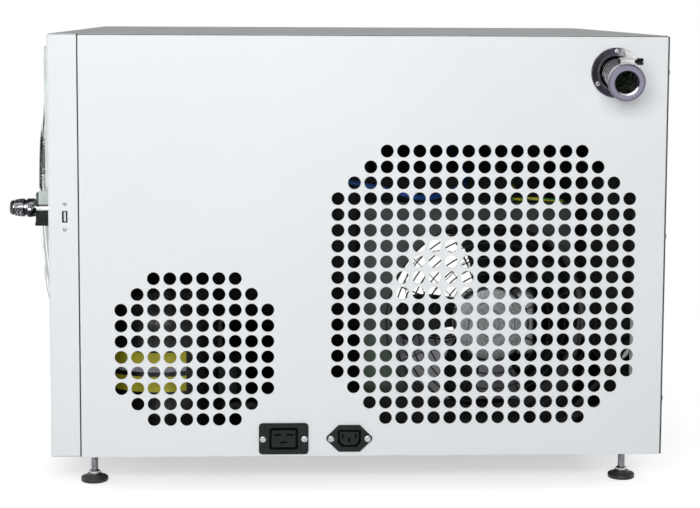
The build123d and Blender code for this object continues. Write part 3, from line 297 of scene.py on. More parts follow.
def feed(tree, shader, colour, roughness=None):
    tree.links.new(colour, shader.inputs["Base Color"])
    if roughness is not None:
        tree.links.new(roughness, shader.inputs["Roughness"])


def bumpInto(tree, shader, height, strength, depth, normal=None):
    # depth in millimetres
    bump = tree.nodes.new("ShaderNodeBump")
    bump.inputs["Strength"].default_value = strength
    bump.inputs["Distance"].default_value = depth * mm
    tree.links.new(height, bump.inputs["Height"])
    if normal is not None:
        tree.links.new(normal, bump.inputs["Normal"])
    tree.links.new(bump.outputs["Normal"], shader.inputs["Normal"])


def tinted(colour, factor):
    return tuple(min(1.0, part * factor) for part in colour)


def insideMask(tree):
    shell = useGroup(tree, shellInside, Middle=insideShell["middle"], Half=insideShell["half"])
    return shell["Inside"]


def leanTo(tree, angle, degrees):
    # 1 on the side that faces this way round an axis, -1 on the far side
    return mathNode(tree, "COSINE", minus(tree, angle, math.radians(degrees)))


def paintedSheet(name, colour, roughness=0.38, inner=None, gloss=0.45):
    # powder coat: orange peel, faint mottle, softly rounded edges
    material, tree, shader = newMaterial(name, colour, roughness, Specular_IOR_Level=gloss)
    fine, mottle = grain(tree, 1500.0, 3.0)
    body = mixColour(tree, mottle, tinted(colour, 0.985), tinted(colour, 1.01))
    if inner is not None:
        body = mixColour(tree, insideMask(tree), body, inner)
    feed(tree, shader, body, rangeNode(tree, fine, 0.3, 0.7, roughness - 0.05, roughness + 0.07))
    bumpInto(tree, shader, fine, 0.12, 0.06, roundedEdge(tree)[0])
    return material


def brushedMetal(name, colour, roughness, stretch, scale):
    material, tree, shader = newMaterial(name, colour, roughness, 1.0)
    streak = useGroup(tree, streaks, Stretch=stretch, Scale=scale)["Streak"]
    normal, worn = roundedEdge(tree, 0.3)
    mottle = grain(tree, 400.0, 14.0)[1]
    body = mixColour(tree, streak, tinted(colour, 0.86), tinted(colour, 1.08))
    body = mixColour(tree, worn, body, tinted(colour, 1.25))
    rough = between(tree, streak, roughness * 0.8, roughness * 1.25)
    rough = mathNode(tree, "ADD", rough, between(tree, mottle, 0.0, 0.08))
    feed(tree, shader, body, rough)
    bumpInto(tree, shader, streak, 0.25, 0.02, normal)
    return material


def platedMetal(name, colour, roughness, wear=0.3, haze=0.12, rim=None, metal=1.0):
    # smooth plating with a slight haze, and a rim of its own colour where edges catch grime
    material, tree, shader = newMaterial(name, colour, roughness, metal)
    fine, mottle = grain(tree, 700.0, 90.0)
    normal, worn = roundedEdge(tree, wear)
    body = mixColour(tree, mottle, tinted(colour, 1 - haze), tinted(colour, 1 + haze))
    body = mixColour(tree, worn, body, rim or tinted(colour, 1.35))
    feed(tree, shader, body, between(tree, mottle, roughness * 0.8, roughness * 1.3))
    bumpInto(tree, shader, fine, 0.08, 0.02, normal)
    return material


def mouldedPlastic(name, colour, roughness, wear=0.3, dust=0.0, fineScale=1200.0, depth=0.05,
                   gloss=0.5):
    material, tree, shader = newMaterial(name, colour, roughness, Specular_IOR_Level=gloss)
    fine, mottle = grain(tree, fineScale, 30.0)
    normal, worn = roundedEdge(tree, wear)
    lighter = tuple(part + (1 - part) * 0.12 for part in colour)
    body = mixColour(tree, mottle, tinted(colour, 0.85), tinted(colour, 1.15))
    body = mixColour(tree, worn, body, lighter)
    if dust > 0:
        fall = useGroup(tree, dustFall, Amount=dust)["Dust"]
        body = mixColour(tree, fall, body, (0.45, 0.44, 0.42))
    feed(tree, shader, body, rangeNode(tree, fine, 0.3, 0.7, roughness - 0.06, roughness + 0.1))
    bumpInto(tree, shader, fine, 0.2, depth, normal)
    return material


def turnedMetal(name, shades, roughness, centre, axis, shadeAngle, lathe=900.0):
    # lathe rings over a polished face, with a painted reflection that runs from dark through middle
    # to bright round its axis
    dark, middle, bright = shades
    material, tree, shader = newMaterial(name, middle, roughness, 0.4)
    spot = useGroup(tree, roundAxis, Centre=centre, Axis=axis)
    mottle = grain(tree, 700.0, 190.0)[1]
    normal, worn = roundedEdge(tree, 1.2)
    rings = ringNoise(tree, spot["Radius"], lathe)
    # painted reflection: the face is dark on one side of the axis and bright on the other
    reflectionLean = leanTo(tree, spot["Angle"], shadeAngle)
    reflectionLean = mathNode(tree, "ADD", reflectionLean, between(tree, mottle, -0.2, 0.2))
    body = mixColour(tree, rangeNode(tree, reflectionLean, -0.5, 0.05), bright, middle)
    body = mixColour(tree, rangeNode(tree, reflectionLean, 0.35, 0.95), body, dark)
    ringed = rangeNode(tree, rings, 0.45, 0.7, 0.0, 0.35)
    body = mixColour(tree, ringed, body, tinted(middle, 2.0))
    body = mixColour(tree, worn, body, (0.85, 0.85, 0.88))
    feed(tree, shader, body, between(tree, mottle, roughness * 0.8, roughness * 1.3))
    bumpInto(tree, shader, rings, 0.12, 0.02, normal)
    return material


def ribWave(tree, along, crest, pitch):
    # 1 on the crests of a corrugation, -1 in its grooves; crest and pitch in millimetres
    offset = minus(tree, along, crest * mm)
    return mathNode(tree, "COSINE", mathNode(tree, "MULTIPLY", offset, tau / (pitch * mm)))


def bellowsSteel(name, centre, axis):
    # bright crests and grooves darkened with painted shade, counted back from the end of the
    # corrugation
    material, tree, shader = newMaterial(name, (0.6, 0.6, 0.64), 0.22, 1.0)
    spot = useGroup(tree, roundAxis, Centre=centre, Axis=axis)
    fine, mottle = grain(tree, 700.0, 160.0)
    crest = hoseSizes["ribEnd"] - hoseSizes["ribPitch"] / 2
    wave = ribWave(tree, spot["Along"], crest, hoseSizes["ribPitch"])
    bright = mixColour(tree, mottle, (0.62, 0.61, 0.66), (0.85, 0.85, 0.88))
    # painted shade: the grooves go near black
    body = mixColour(tree, rangeNode(tree, wave, -0.1, 0.3), (0.03, 0.028, 0.035), bright)
    feed(tree, shader, body, between(tree, mottle, 0.16, 0.3))
    bumpInto(tree, shader, fine, 0.1, 0.02)
    return material


def castAlloy(name, colour, roughness):
    # sand-cast grain with darker pits
    material, tree, shader = newMaterial(name, colour, roughness, 0.6)
    fine = grain(tree, 380.0, 45.0)[0]
    normal, worn = roundedEdge(tree, 0.6)
    pitted = rangeNode(tree, fine, 0.3, 0.6)
    body = mixColour(tree, pitted, tinted(colour, 0.6), tinted(colour, 1.1))
    feed(tree, shader, mixColour(tree, worn, body, tinted(colour, 1.5)))
    bumpInto(tree, shader, fine, 0.5, 0.25, normal)
    return material


def clearSheet(name, colour, roughness, ior):
    material, tree, shader = newMaterial(name, colour, roughness, IOR=ior, Transmission_Weight=1.0)
    mottle = grain(tree, 300.0, 8.0)[1]
    tree.links.new(between(tree, mottle, roughness, roughness + 0.03), shader.inputs["Roughness"])
    return material


# the space within the cabinet's walls, for colours that differ inside it
insideShell = {
    "middle": ((coverLow.x + coverHigh.x) / 2, (frontY + coverHigh.y) / 2, coverHigh.z / 2),
    "half": ((coverHigh.x - coverLow.x) / 2 - 0.6 * mm, (coverHigh.y - frontY) / 2 + 20 * mm,
             coverHigh.z / 2 - 0.6 * mm),
}
hoseSizes = {
    "ribEnd": 46.0,      # millimetres out from the cabinet's side
    "ribPitch": 6.4,     # every other rib is painted dark, as shade in a groove
}
whitePaint = (0.86, 0.885, 0.90)

print("materials")
finish = {
    "white_paint": paintedSheet("whitePowderCoat", whitePaint, 0.36),
    # near black inside the walls; what darkens the inside is not known
    "white_cover": paintedSheet("whiteCoverDarkInside", whitePaint, 0.36, (0.012, 0.013, 0.013)),
    "grey_paint": paintedSheet("greyPowderCoat", (0.075, 0.085, 0.088), 0.45, gloss=0.3),
    "black_paint": paintedSheet("nearBlackInner", (0.014, 0.017, 0.016), 0.6, gloss=0.2),
    "zinc_steel": brushedMetal("zincPlate", (0.55, 0.57, 0.58), 0.38, (1.0, 12.0, 12.0), 30.0),
    "stainless": brushedMetal("brushedStainless", (0.60, 0.61, 0.62), 0.28, (1.0, 40.0, 40.0),
                              40.0),
    "copper": brushedMetal("drawnCopper", (0.72, 0.36, 0.22), 0.3, (8.0, 8.0, 8.0), 30.0),
    "bright_screw": platedMetal("screwPlating", (0.50, 0.50, 0.52), 0.26, 2.6, 0.2,
                                (0.035, 0.035, 0.04)),
    "polished_steel": platedMetal("clampSteel", (0.93, 0.93, 0.95), 0.2, 2.4, 0.08,
                                  (0.06, 0.055, 0.075), 0.3),
    "black_chrome": platedMetal("darkPlating", (0.028, 0.032, 0.034), 0.17, 2.5, 0.3),
    "chrome_wire": platedMetal("guardChrome", (0.92, 0.92, 0.93), 0.12),
    "black_foam": mouldedPlastic("cellFoam", (0.02, 0.021, 0.022), 0.9, 0.0, 0.1, 260.0, 0.6),
    "black_rubber": mouldedPlastic("gasketRubber", (0.018, 0.019, 0.019), 0.7, 0.2, 0.15, 600.0,
                                   0.08),
    "black_plastic": mouldedPlastic("mouldedBlack", (0.009, 0.014, 0.013), 0.5, 0.3, 0.03,
                                    gloss=0.2),
    "black_gloss": mouldedPlastic("rockerGloss", (0.008, 0.009, 0.009), 0.2, 0.3, 0.03, gloss=0.3),
    "black_enamel": mouldedPlastic("compressorEnamel", (0.010, 0.010, 0.011), 0.28, 0.2, 0.25,
                                   240.0, 0.2),
    "black_wire": mouldedPlastic("guardCoating", (0.008, 0.008, 0.009), 0.45, 0.15, 0.1),
    "heater_silicone": mouldedPlastic("heaterSilicone", (0.42, 0.10, 0.045), 0.6, 0.2, 0.0, 500.0,
                                      0.1),
    "light_plastic": mouldedPlastic("bezelMoulding", (0.62, 0.65, 0.66), 0.4, 0.1, 0.05),
    "clear_silicone": mouldedPlastic("milkySilicone", (0.56, 0.60, 0.58), 0.45, 0.1, 0.03, 500.0,
                                     0.06),
    "usb_white": mouldedPlastic("usbTongueWhite", (0.78, 0.80, 0.80), 0.35, 0.1),
    "board_green": mouldedPlastic("boardResist", (0.02, 0.13, 0.06), 0.35, 0.2, 0.05, 300.0, 0.03),
    "foot_black": mouldedPlastic("footMoulding", (0.014, 0.015, 0.016), 0.45, 0.4, 0.2),
    "grey_motor": castAlloy("motorCasting", (0.42, 0.44, 0.45), 0.5),
    "clear_acrylic": clearSheet("clearAcrylic", (0.945, 0.985, 0.965), 0.01, 1.2),
}


def floorMaterial():
    # white tray, with painted shade over its inside except round the exhaust, where light comes in
    material, tree, shader = newMaterial("trayWithPaintedShade", (0.80, 0.82, 0.86), 0.4,
                                         Specular_IOR_Level=0.2)
    guardLow, guardHigh = nodeBox("exhaust_guard")
    fine, mottle = grain(tree, 1500.0, 3.0)
    cutEdge, cutHalf, cutShift = 10 * mm, 95 * mm, 10 * mm
    middle = (guardLow.y + guardHigh.y) / 2 - cutShift
    spread = gap(tree, axisHeight(tree, "Y"), middle)
    bare = product(tree, isUnder(tree, axisHeight(tree, "X"), cutEdge),
                   isUnder(tree, spread, cutHalf))
    # painted shade: near black over the tray's inside, left off round the exhaust
    paintedShade = product(tree, insideMask(tree), minus(tree, 1.0, bare))
    body = mixColour(tree, mottle, (0.79, 0.80, 0.86), (0.81, 0.82, 0.88))
    body = mixColour(tree, paintedShade, body, (0.010, 0.011, 0.011))
    feed(tree, shader, body, between(tree, paintedShade, 0.4, 0.95))
    bumpInto(tree, shader, fine, 0.12, 0.06, roundedEdge(tree)[0])
    return material


def linesMaterial():
    # near black over the copper, with a pale greenish length on the riser beside the condenser
    material, tree, shader = newMaterial("darkLines", (0.02, 0.021, 0.021), 0.75)
    high = nodeBox("refrigerant_lines")[1]
    bareLow, bareHigh = 116 * mm, 184 * mm
    height = axisHeight(tree, "Z")
    bare = product(tree, isOver(tree, height, bareLow),
                   isUnder(tree, height, bareHigh),
                   isOver(tree, axisHeight(tree, "Y"), high.y - 20 * mm),
                   isOver(tree, axisHeight(tree, "X"), high.x - 12 * mm))
    fine, mottle = grain(tree, 420.0, 60.0)
    # near black; what darkens the lines is not known
    sleeve = mixColour(tree, mottle, (0.012, 0.013, 0.013), (0.026, 0.028, 0.028))
    paleLength = mixColour(tree, mottle, (0.62, 0.68, 0.65), (0.80, 0.86, 0.83))
    feed(tree, shader, mixColour(tree, bare, sleeve, paleLength), between(tree, bare, 0.75, 0.35))
    bumpInto(tree, shader, fine, 0.35, 0.15)
    return material


def leadsMaterial():
    # blue sleeve, and the earth lead's yellow and green winding
    material, tree, shader = newMaterial("leadSleeves", (0.03, 0.12, 0.45), 0.38)
    earthLength = 83 * mm
    along = axisHeight(tree, "Y")
    earth = isOver(tree, along, nodeBox("wiring_loom")[1].y - earthLength)
    winding = mathNode(tree, "ADD", product(tree, axisHeight(tree, "X"), 260.0),
                       product(tree, along, 190.0))
    winding = mathNode(tree, "ADD", winding, product(tree, axisHeight(tree, "Z"), 900.0))
    stripe = isOver(tree, mathNode(tree, "SINE", winding), -0.1)
    fine, mottle = grain(tree, 900.0, 50.0)
    blue = mixColour(tree, mottle, (0.02, 0.10, 0.40), (0.04, 0.15, 0.52))
    striped = mixColour(tree, stripe, (0.06, 0.30, 0.06), (0.62, 0.55, 0.03))
    feed(tree, shader, mixColour(tree, earth, blue, striped))
    bumpInto(tree, shader, fine, 0.15, 0.04)
    return material


def shroudMaterial():
    # grey sheet, darker towards the rear, greenish near its front foot, and near black along its
    # bottom as painted shade
    material, tree, shader = newMaterial("shroudSheet", (0.10, 0.12, 0.12), 0.5)
    low = nodeBox("fan_shroud")[0]
    along, height = axisHeight(tree, "Y"), axisHeight(tree, "Z")
    fine, mottle = grain(tree, 1300.0, 16.0)
    normal, worn = roundedEdge(tree, 0.8)
    body = mixColour(tree, mottle, (0.075, 0.088, 0.09), (0.13, 0.15, 0.15))
    # darker towards the rear of the shroud
    darkerRearward = rangeNode(tree, along, low.y + 40 * mm, low.y + 120 * mm)
    body = mixColour(tree, darkerRearward, body, (0.035, 0.042, 0.042))
    footMask = product(tree, rangeNode(tree, height, low.z + 125 * mm, low.z + 70 * mm),
                       rangeNode(tree, along, low.y + 60 * mm, low.y + 20 * mm))
    body = mixColour(tree, footMask, body, (0.14, 0.22, 0.15))
    shaded = rangeNode(tree, height, low.z + 50 * mm, low.z + 30 * mm)
    body = mixColour(tree, shaded, body, (0.008, 0.009, 0.009))
    feed(tree, shader, mixColour(tree, worn, body, (0.45, 0.48, 0.48)))
    bumpInto(tree, shader, fine, 0.15, 0.06, normal)
    return material


def screenMaterial():
    # the display's lit area lies under its cover glass as a slightly paler field
    material, tree, shader = newMaterial("displayGlass", (0.010, 0.012, 0.016), 0.06)
    low, high = nodeBox("screen_glass")
    border = 7 * mm
    tests = []
    for axis, start, end in (("X", low.x, high.x), ("Z", low.z, high.z)):
        reach = gap(tree, axisHeight(tree, axis), (start + end) / 2)
        tests.append(isUnder(tree, reach, (end - start) / 2 - border))
    fine, mottle = grain(tree, 2400.0, 20.0)
    body = mixColour(tree, product(tree, *tests), (0.008, 0.009, 0.010), (0.022, 0.027, 0.034))
    feed(tree, shader, body, between(tree, mottle, 0.05, 0.13))
    bumpInto(tree, shader, fine, 0.03, 0.01)
    return material


portMount = next(mount for mount in record["mounts"] if mount["name"] == "vacuum_port_bore")
portAxis = Vector(portMount["axis"]).normalized()
portReach = 38 * mm       # from the cabinet's side to the mount
portCentre = Vector(portMount["pos_m"]) - portAxis * portReach
# dark, middle and bright shades of the flange's painted reflection
flangeReflectionShades = ((0.004, 0.004, 0.006), (0.05, 0.046, 0.066), (0.97, 0.97, 0.98))
finish["flange_steel"] = turnedMetal("wallFlangeSteel", flangeReflectionShades, 0.2, portCentre, (1, 0, 0),
                                     172.0)
finish["hose_steel"] = bellowsSteel("hoseSteel", portCentre, portAxis)
finish["tray_painted_shade"] = floorMaterial()
finish["shroud"] = shroudMaterial()
finish["dark_lines"] = linesMaterial()
finish["leads"] = leadsMaterial()
finish["display"] = screenMaterial()
nodeFinish = {
    "cabinet_cover": "white_cover",
    "front_bulkhead": "white_cover",
    "base_chassis": "tray_painted_shade",
    # the control box, the condenser and the drier are near black; what darkens them is not known
    "control_box": "black_paint",
    "condenser_frame": "black_paint",
    "condenser_tubes": "black_paint",
    "condenser_fins": "black_paint",
    "refrigerant_lines": "dark_lines",
    "filter_drier": "black_paint",
    "fan_shroud": "shroud",
    "door_gasket": "clear_silicone",
    "hose_clamp_screw": "black_chrome",
    "vacuum_bulkhead": "flange_steel",
    "vacuum_hose": "hose_steel",
    "wiring_loom": "leads",
    "screen_glass": "display",
}
for entry in record["subparts"]:
    node = cadNodes[entry["node"]]
    node.data.materials.clear()
    node.data.materials.append(finish[nodeFinish.get(entry["node"], entry["material_slot"])])


# making pieces, with their lengths in millimetres

def boxInMm(name):
    low, high = nodeBox(name)
    return low / mm, high / mm


def freshStart():
    if bpy.context.object is not None and bpy.context.object.mode != "OBJECT":
        bpy.ops.object.mode_set(mode="OBJECT")
    bpy.ops.object.select_all(action="DESELECT")


def pick(piece):
    freshStart()
    piece.select_set(True)
    bpy.context.view_layer.objects.active = piece


def applyPlace():
    bpy.ops.object.transform_apply(location=True, rotation=True, scale=True)


def applyModifiers(piece):
    pick(piece)
    for modifier in list(piece.modifiers):
        bpy.ops.object.modifier_apply(modifier=modifier.name)


def placePiece(piece, matrix):
    # puts the piece's place into its mesh and leaves its object at the origin
    pick(piece)
    piece.matrix_world = matrix @ piece.matrix_world
    applyPlace()


def tidyNormals(piece):
    pick(piece)
    bpy.ops.object.mode_set(mode="EDIT")
    bpy.ops.mesh.select_all(action="SELECT")
    bpy.ops.mesh.normals_make_consistent(inside=False)
    bpy.ops.object.mode_set(mode="OBJECT")


def smoothByAngle(piece, degrees):
    pick(piece)
    bpy.ops.object.shade_smooth_by_angle(angle=math.radians(degrees))


def dress(piece, name, body, slot, smooth=None, shade=None):
    # smooth: the angle in degrees below which edges are shaded as one surface
    if smooth is not None:
        smoothByAngle(piece, smooth)
    piece.name = name
    piece.data.name = name
    piece.data.materials.clear()
    piece.data.materials.append(finish[shade or slot])
    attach(piece, body)


def axisMatrix(origin, direction):
    # local z to the direction, local origin to the point
    turn = Vector(direction).to_track_quat("Z", "Y").to_matrix().to_4x4()
    return Matrix.Translation(Vector(origin)) @ turn


def turnedPiece(profile, steps):
    # a turned solid made by drawing a disc up and in along a profile of (radius, height)
    freshStart()
    radius, height = profile[0]
    bpy.ops.mesh.primitive_circle_add(vertices=steps, radius=radius * mm, fill_type="NGON",
                                      location=(0, 0, height * mm))
    piece = bpy.context.object
    applyPlace()
    bpy.ops.object.mode_set(mode="EDIT")
    for nextRadius, nextHeight in profile[1:]:
        rise = (0, 0, (nextHeight - height) * mm)
        bpy.ops.mesh.extrude_region_move(TRANSFORM_OT_translate={"value": rise})
        factor = nextRadius / radius
        bpy.ops.transform.resize(value=(factor, factor, 1))
        radius, height = nextRadius, nextHeight
    tidyNormals(piece)
    return piece


def roundEdges(piece, width, segments, sharpFrom=30):
    # rounds the edges that bend by more than sharpFrom degrees
    rounding = piece.modifiers.new("rounding", "BEVEL")
    rounding.width = width * mm
    rounding.segments = segments
    rounding.limit_method = "ANGLE"
    rounding.angle_limit = math.radians(sharpFrom)
    applyModifiers(piece)


def thicken(piece, wall, offset):
    solid = piece.modifiers.new("wall", "SOLIDIFY")
    solid.thickness = wall * mm
    solid.offset = offset
    applyModifiers(piece)


def softBox(low, high, bevel, segments=3):
    freshStart()
    low, high = Vector(low) * mm, Vector(high) * mm
    bpy.ops.mesh.primitive_cube_add(size=1, location=(low + high) / 2)
    piece = bpy.context.object
    piece.scale = high - low
    applyPlace()
    roundEdges(piece, bevel, segments)
    return piece


def flatGrid(across, along, rule):
    # a grid, -1 to 1 both ways, with every point moved to where the rule puts it
    freshStart()
    bpy.ops.mesh.primitive_grid_add(x_subdivisions=across, y_subdivisions=along, size=2)
    piece = bpy.context.object
    for point in piece.data.vertices:
        point.co = Vector(rule(point.co.x, point.co.y)) * mm
    return piece


def joinPieces(pieces):
    freshStart()
    for piece in pieces:
        piece.select_set(True)
    bpy.context.view_layer.objects.active = pieces[0]
    bpy.ops.object.join()
    return bpy.context.object


def turnedCopies(piece, turns):
    # takes the piece away and leaves one copy for each turn about z, in degrees
    twins = []
    for turn in turns:
        twin = piece.copy()
        twin.data = piece.data.copy()
        bpy.context.collection.objects.link(twin)
        placePiece(twin, Matrix.Rotation(math.radians(turn), 4, "Z"))
        twins.append(twin)
    bpy.data.objects.remove(piece)
    return twins


def threadedRod(radius, pitch, low, high, steps=20):
    # a core rod with a screw thread wound round it, from z low to z high
    coreRadius = radius - pitch * 0.6
    freshStart()
    bpy.ops.mesh.primitive_plane_add(size=1)
    tooth = bpy.context.object
    bpy.ops.object.mode_set(mode="EDIT")
    bpy.ops.mesh.select_all(action="SELECT")
    bpy.ops.mesh.delete(type="ONLY_FACE")
    bpy.ops.object.mode_set(mode="OBJECT")
    # the tooth's four corners, each with its place along the pitch
    corners = [(coreRadius, 0.02), (coreRadius, 0.98), (radius, 0.62), (radius, 0.38)]
    for index, (reach, part) in zip((0, 2, 3, 1), corners):
        tooth.data.vertices[index].co = (reach * mm, 0, (low + pitch * (part - 0.5)) * mm)
    winding = tooth.modifiers.new("winding", "SCREW")
    winding.axis = "Z"
    winding.screw_offset = pitch * mm
    winding.iterations = max(1, int((high - low) / pitch))
    winding.steps = steps
    winding.render_steps = steps
    winding.use_merge_vertices = True
    winding.merge_threshold = 0.001 * mm
    applyModifiers(tooth)
    core = turnedPiece([(coreRadius, low), (coreRadius, high)], steps)
    rod = joinPieces([core, tooth])
    tidyNormals(rod)
    return rod


# levelling feet

footSizes = {
    "padRadius": 15,
    "padRim": 5,
    "stemRadius": 4,
    "threadPitch": 1.25,
    "collarRadius": 6.5,
}


def makeFoot(corner):
    node, body = "levelling_foot_" + corner, "foot_" + corner
    low, high = boxInMm(node)
    centre = (low + high) / 2
    place = Matrix.Translation((centre.x * mm, centre.y * mm, 0))
    radius, rim = footSizes["padRadius"], footSizes["padRim"]
    pad = turnedPiece([(radius - 3, 0), (radius - 1.2, 0), (radius - 0.3, 0.4), (radius, 1.3),
                       (radius, rim - 0.8), (radius - 0.5, rim), (radius - 1.6, rim + 0.5),
                       (radius - 4.5, rim + 1.1), (8.6, rim + 1.9), (8.0, rim + 3.2),
                       (7.4, rim + 4.0), (5.2, rim + 4.0), (4.9, rim + 3.2)], 56)
    placePiece(pad, place)
    dress(pad, "footPad_" + corner, body, "foot_black", 40)
    start, top, collarRadius = rim + 3, high.z, footSizes["collarRadius"]
    stem = threadedRod(footSizes["stemRadius"], footSizes["threadPitch"], start, top - 2)
    tip = turnedPiece([(3.2, top - 3), (3.2, top - 1), (2.4, top)], 24)
    collar = turnedPiece([(collarRadius - 0.9, start), (collarRadius, start + 1.0),
                          (collarRadius, start + 3.4), (collarRadius - 0.9, start + 4.2)], 6)
    whole = joinPieces([stem, tip, collar])
    placePiece(whole, place)
    dress(whole, "footStem_" + corner, body, "bright_screw", 30)
    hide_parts(node)


print("feet")
for corner in ("front_right", "front_left", "back_right", "back_left"):
    makeFoot(corner)


# fan

fanSizes = {
    "hubRadius": 34,
    "tipRadius": 109.6,
    "bladeTurns": (0.0, 87.0, 155.0, 223.0, 292.0),    # degrees from the first blade
    "restAngle": 92.3,      # degrees from the rear towards the top
    "rootDepth": 4,         # how far the blade's root lies within the hub
    "rootPitch": 38.0,      # degrees
    "tipPitch": 22.0,
    "rootChord": 33,
    "tipChord": 56,
    "camber": 0.1,          # as a part of the chord
    "bladeWall": 1.8,
    "bladeHeight": -20,     # of the middle of the blade, along the spindle
    "sweep": 8.6,           # degrees that the tip leads the root
    "cornerFrom": 0.7,      # part of the blade's length at which its corners begin
    "cornerCut": 0.16,
}
# local x to the rear, local y up, local z out of the side
fanTurn = Matrix(((0, 0, 1, 0), (1, 0, 0, 0), (0, 1, 0, 0), (0, 0, 0, 1)))
fanMatrix = Matrix.Translation(jointSpot["fan_spin"]) @ fanTurn


def bladePoint(a, b):
    size = fanSizes
    part = (a + 1) / 2
    root = size["hubRadius"] - size["rootDepth"]
    reach = root + (size["tipRadius"] - root) * part
    past = max(0.0, part - size["cornerFrom"]) / (1 - size["cornerFrom"])
    corner = 1 - size["cornerCut"] * past * abs(b) ** 3
    half = (size["rootChord"] + (size["tipChord"] - size["rootChord"]) * part ** 0.8) / 2
    pitch = math.radians(size["rootPitch"] + (size["tipPitch"] - size["rootPitch"]) * part)
    arch = size["camber"] * 2 * half * (1 - b * b)
    turn = b * half * math.cos(pitch) - arch * math.sin(pitch)
    rise = b * half * math.sin(pitch) + arch * math.cos(pitch) + size["bladeHeight"]
    reach = math.sqrt(max(0.0, reach * reach - turn * turn)) * corner
    lead = math.radians(size["sweep"]) * (part * part - 0.4)
    return (reach * math.cos(lead) - turn * math.sin(lead),
            reach * math.sin(lead) + turn * math.cos(lead), rise)


def makeFan():
    radius = fanSizes["hubRadius"]
    hub = turnedPiece([(radius - 6, -32), (radius - 2.5, -31), (radius - 0.6, -29),
                       (radius, -26.5), (radius, -9), (radius - 0.8, -8), (radius - 2.4, -8),
                       (radius - 3.0, -26), (9, -26), (8, -12), (5.5, -12)], 64)
    blade = flatGrid(14, 10, bladePoint)
    thicken(blade, fanSizes["bladeWall"], 0)
    roundEdges(blade, 0.5, 2, 50)
    turns = [fanSizes["restAngle"] + turn for turn in fanSizes["bladeTurns"]]
    fan = joinPieces([hub] + turnedCopies(blade, turns))
    tidyNormals(fan)
    placePiece(fan, fanMatrix)
    dress(fan, "fanRotor", "fan", "black_plastic", 45)
    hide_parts("fan_rotor")


motorSizes = {
    "radius": 42.5,
    "base": 2,
    "length": 44,
    "screwCircle": 30.6,
    "ribCount": 28,
    "boxReach": 50.5,       # terminal box: how far it stands out from the axis
    "boxHalf": 37,
    "boxTop": 37,
}


def addScrew(name, profile, steps, spot):
    screw = turnedPiece(profile, steps)
    placePiece(screw, fanMatrix @ Matrix.Translation(Vector(spot) * mm))
    dress(screw, name, "cabinet", "bright_screw", 40)


def makeMotor():
    radius, base = motorSizes["radius"], motorSizes["base"]
    top = base + motorSizes["length"]
    housing = turnedPiece([(radius - 5, base), (radius - 1.5, base + 0.6), (radius - 0.2, base + 3),
                           (radius - 0.2, base + 9), (radius - 2.2, base + 9.6),
                           (radius - 2.2, top - 13), (radius, top - 12.4), (radius, top - 4),
                           (radius - 1.2, top - 1.2), (radius - 4, top), (radius - 15, top),
                           (radius - 16, top - 1.4), (16, top - 1.4), (15, top - 0.2),
                           (9, top - 0.2), (8.4, top - 1.6), (3.2, top - 1.6)], 72)
    rib = softBox((radius - 2.6, -0.9, base + 8), (radius - 0.3, 0.9, top - 12), 0.4, 2)
    ribCount = motorSizes["ribCount"]
    ribs = turnedCopies(rib, [360 * index / ribCount for index in range(ribCount)])
    spindle = turnedPiece([(4, -31), (4, base + 1)], 24)
    motor = joinPieces([housing] + ribs + [spindle])
    placePiece(motor, fanMatrix)
    dress(motor, "fanMotorHousing", "cabinet", "grey_motor", 35)
    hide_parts("fan_motor")
    head = [(3.4, 0), (3.4, 1.6), (3.0, 2.3), (1.7, 2.5), (1.6, 1.0)]
    circle = motorSizes["screwCircle"]
    for index in range(4):
        angle = math.radians(45 + 90 * index)
        spot = (circle * math.cos(angle), circle * math.sin(angle), top - 0.9)
        addScrew("motorScrew" + str(index + 1), head, 24, spot)


def makeTerminalBox():
    # stands on the motor's rear side, with a screw at each end of its lid
    radius, base = motorSizes["radius"], motorSizes["base"]
    reach, half, top = motorSizes["boxReach"], motorSizes["boxHalf"], motorSizes["boxTop"]
    box = softBox((radius - 14, -half, base + 5), (reach, half, top), 5, 4)
    lid = softBox((radius - 7, 3 - half, top - 1), (reach - 2, half - 3, top + 0.8), 0.8, 3)
    whole = joinPieces([box, lid])
    placePiece(whole, fanMatrix)
    dress(whole, "motorTerminalBox", "cabinet", "grey_motor", 40)
    head = [(3.6, 0), (3.6, 1.4), (2.8, 2.4), (1.5, 2.6), (1.4, 1.2)]
    for index, side in enumerate((-1, 1)):
        spot = (reach - 8, side * (half - 8.5), top + 0.7)
        addScrew("terminalScrew" + str(index + 1), head, 28, spot)


print("fan")
makeFan()
makeMotor()
makeTerminalBox()


# exhaust guard

exhaustSizes = {
    "wireRadius": 0.75,
    "rings": (76, 51, 26),
    "barAngles": (45, 135),     # degrees
}


def makeExhaustGuard():
    low, high = boxInMm("exhaust_guard")
    centre = (low + high) / 2
    wire, rings = exhaustSizes["wireRadius"], exhaustSizes["rings"]
    pieces = []
    for radius in rings:
        freshStart()
        bpy.ops.mesh.primitive_torus_add(major_radius=radius * mm, minor_radius=wire * mm,
                                         major_segments=72, minor_segments=8)
        pieces.append(bpy.context.object)
    for angle in exhaustSizes["barAngles"]:
        bar = turnedPiece([(wire, -rings[0]), (wire, rings[0])], 8)
        turn = Matrix.Rotation(math.radians(angle), 4, "Z")
        placePiece(bar, turn @ Matrix.Rotation(math.pi / 2, 4, "X"))
        pieces.append(bar)
    guard = joinPieces(pieces)
    placePiece(guard, axisMatrix(Vector((low.x + wire, centre.y, centre.z)) * mm, (1, 0, 0)))
    dress(guard, "exhaustGuard", "cabinet", "bright_screw", 50, "chrome_wire")
    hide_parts("exhaust_guard")


print("exhaust guard")
makeExhaustGuard()


# compressor label

labelSizes = {
    "lowAngle": -46.0,      # degrees round the can from straight out of the side
    "highAngle": 26.0,
    "lowZ": 51,             # above the can's underside
    "highZ": 95,
    "canRadius": 68,
    "paper": 0.25,
    "bandHalf": 5,          # half the height of the printed band
}


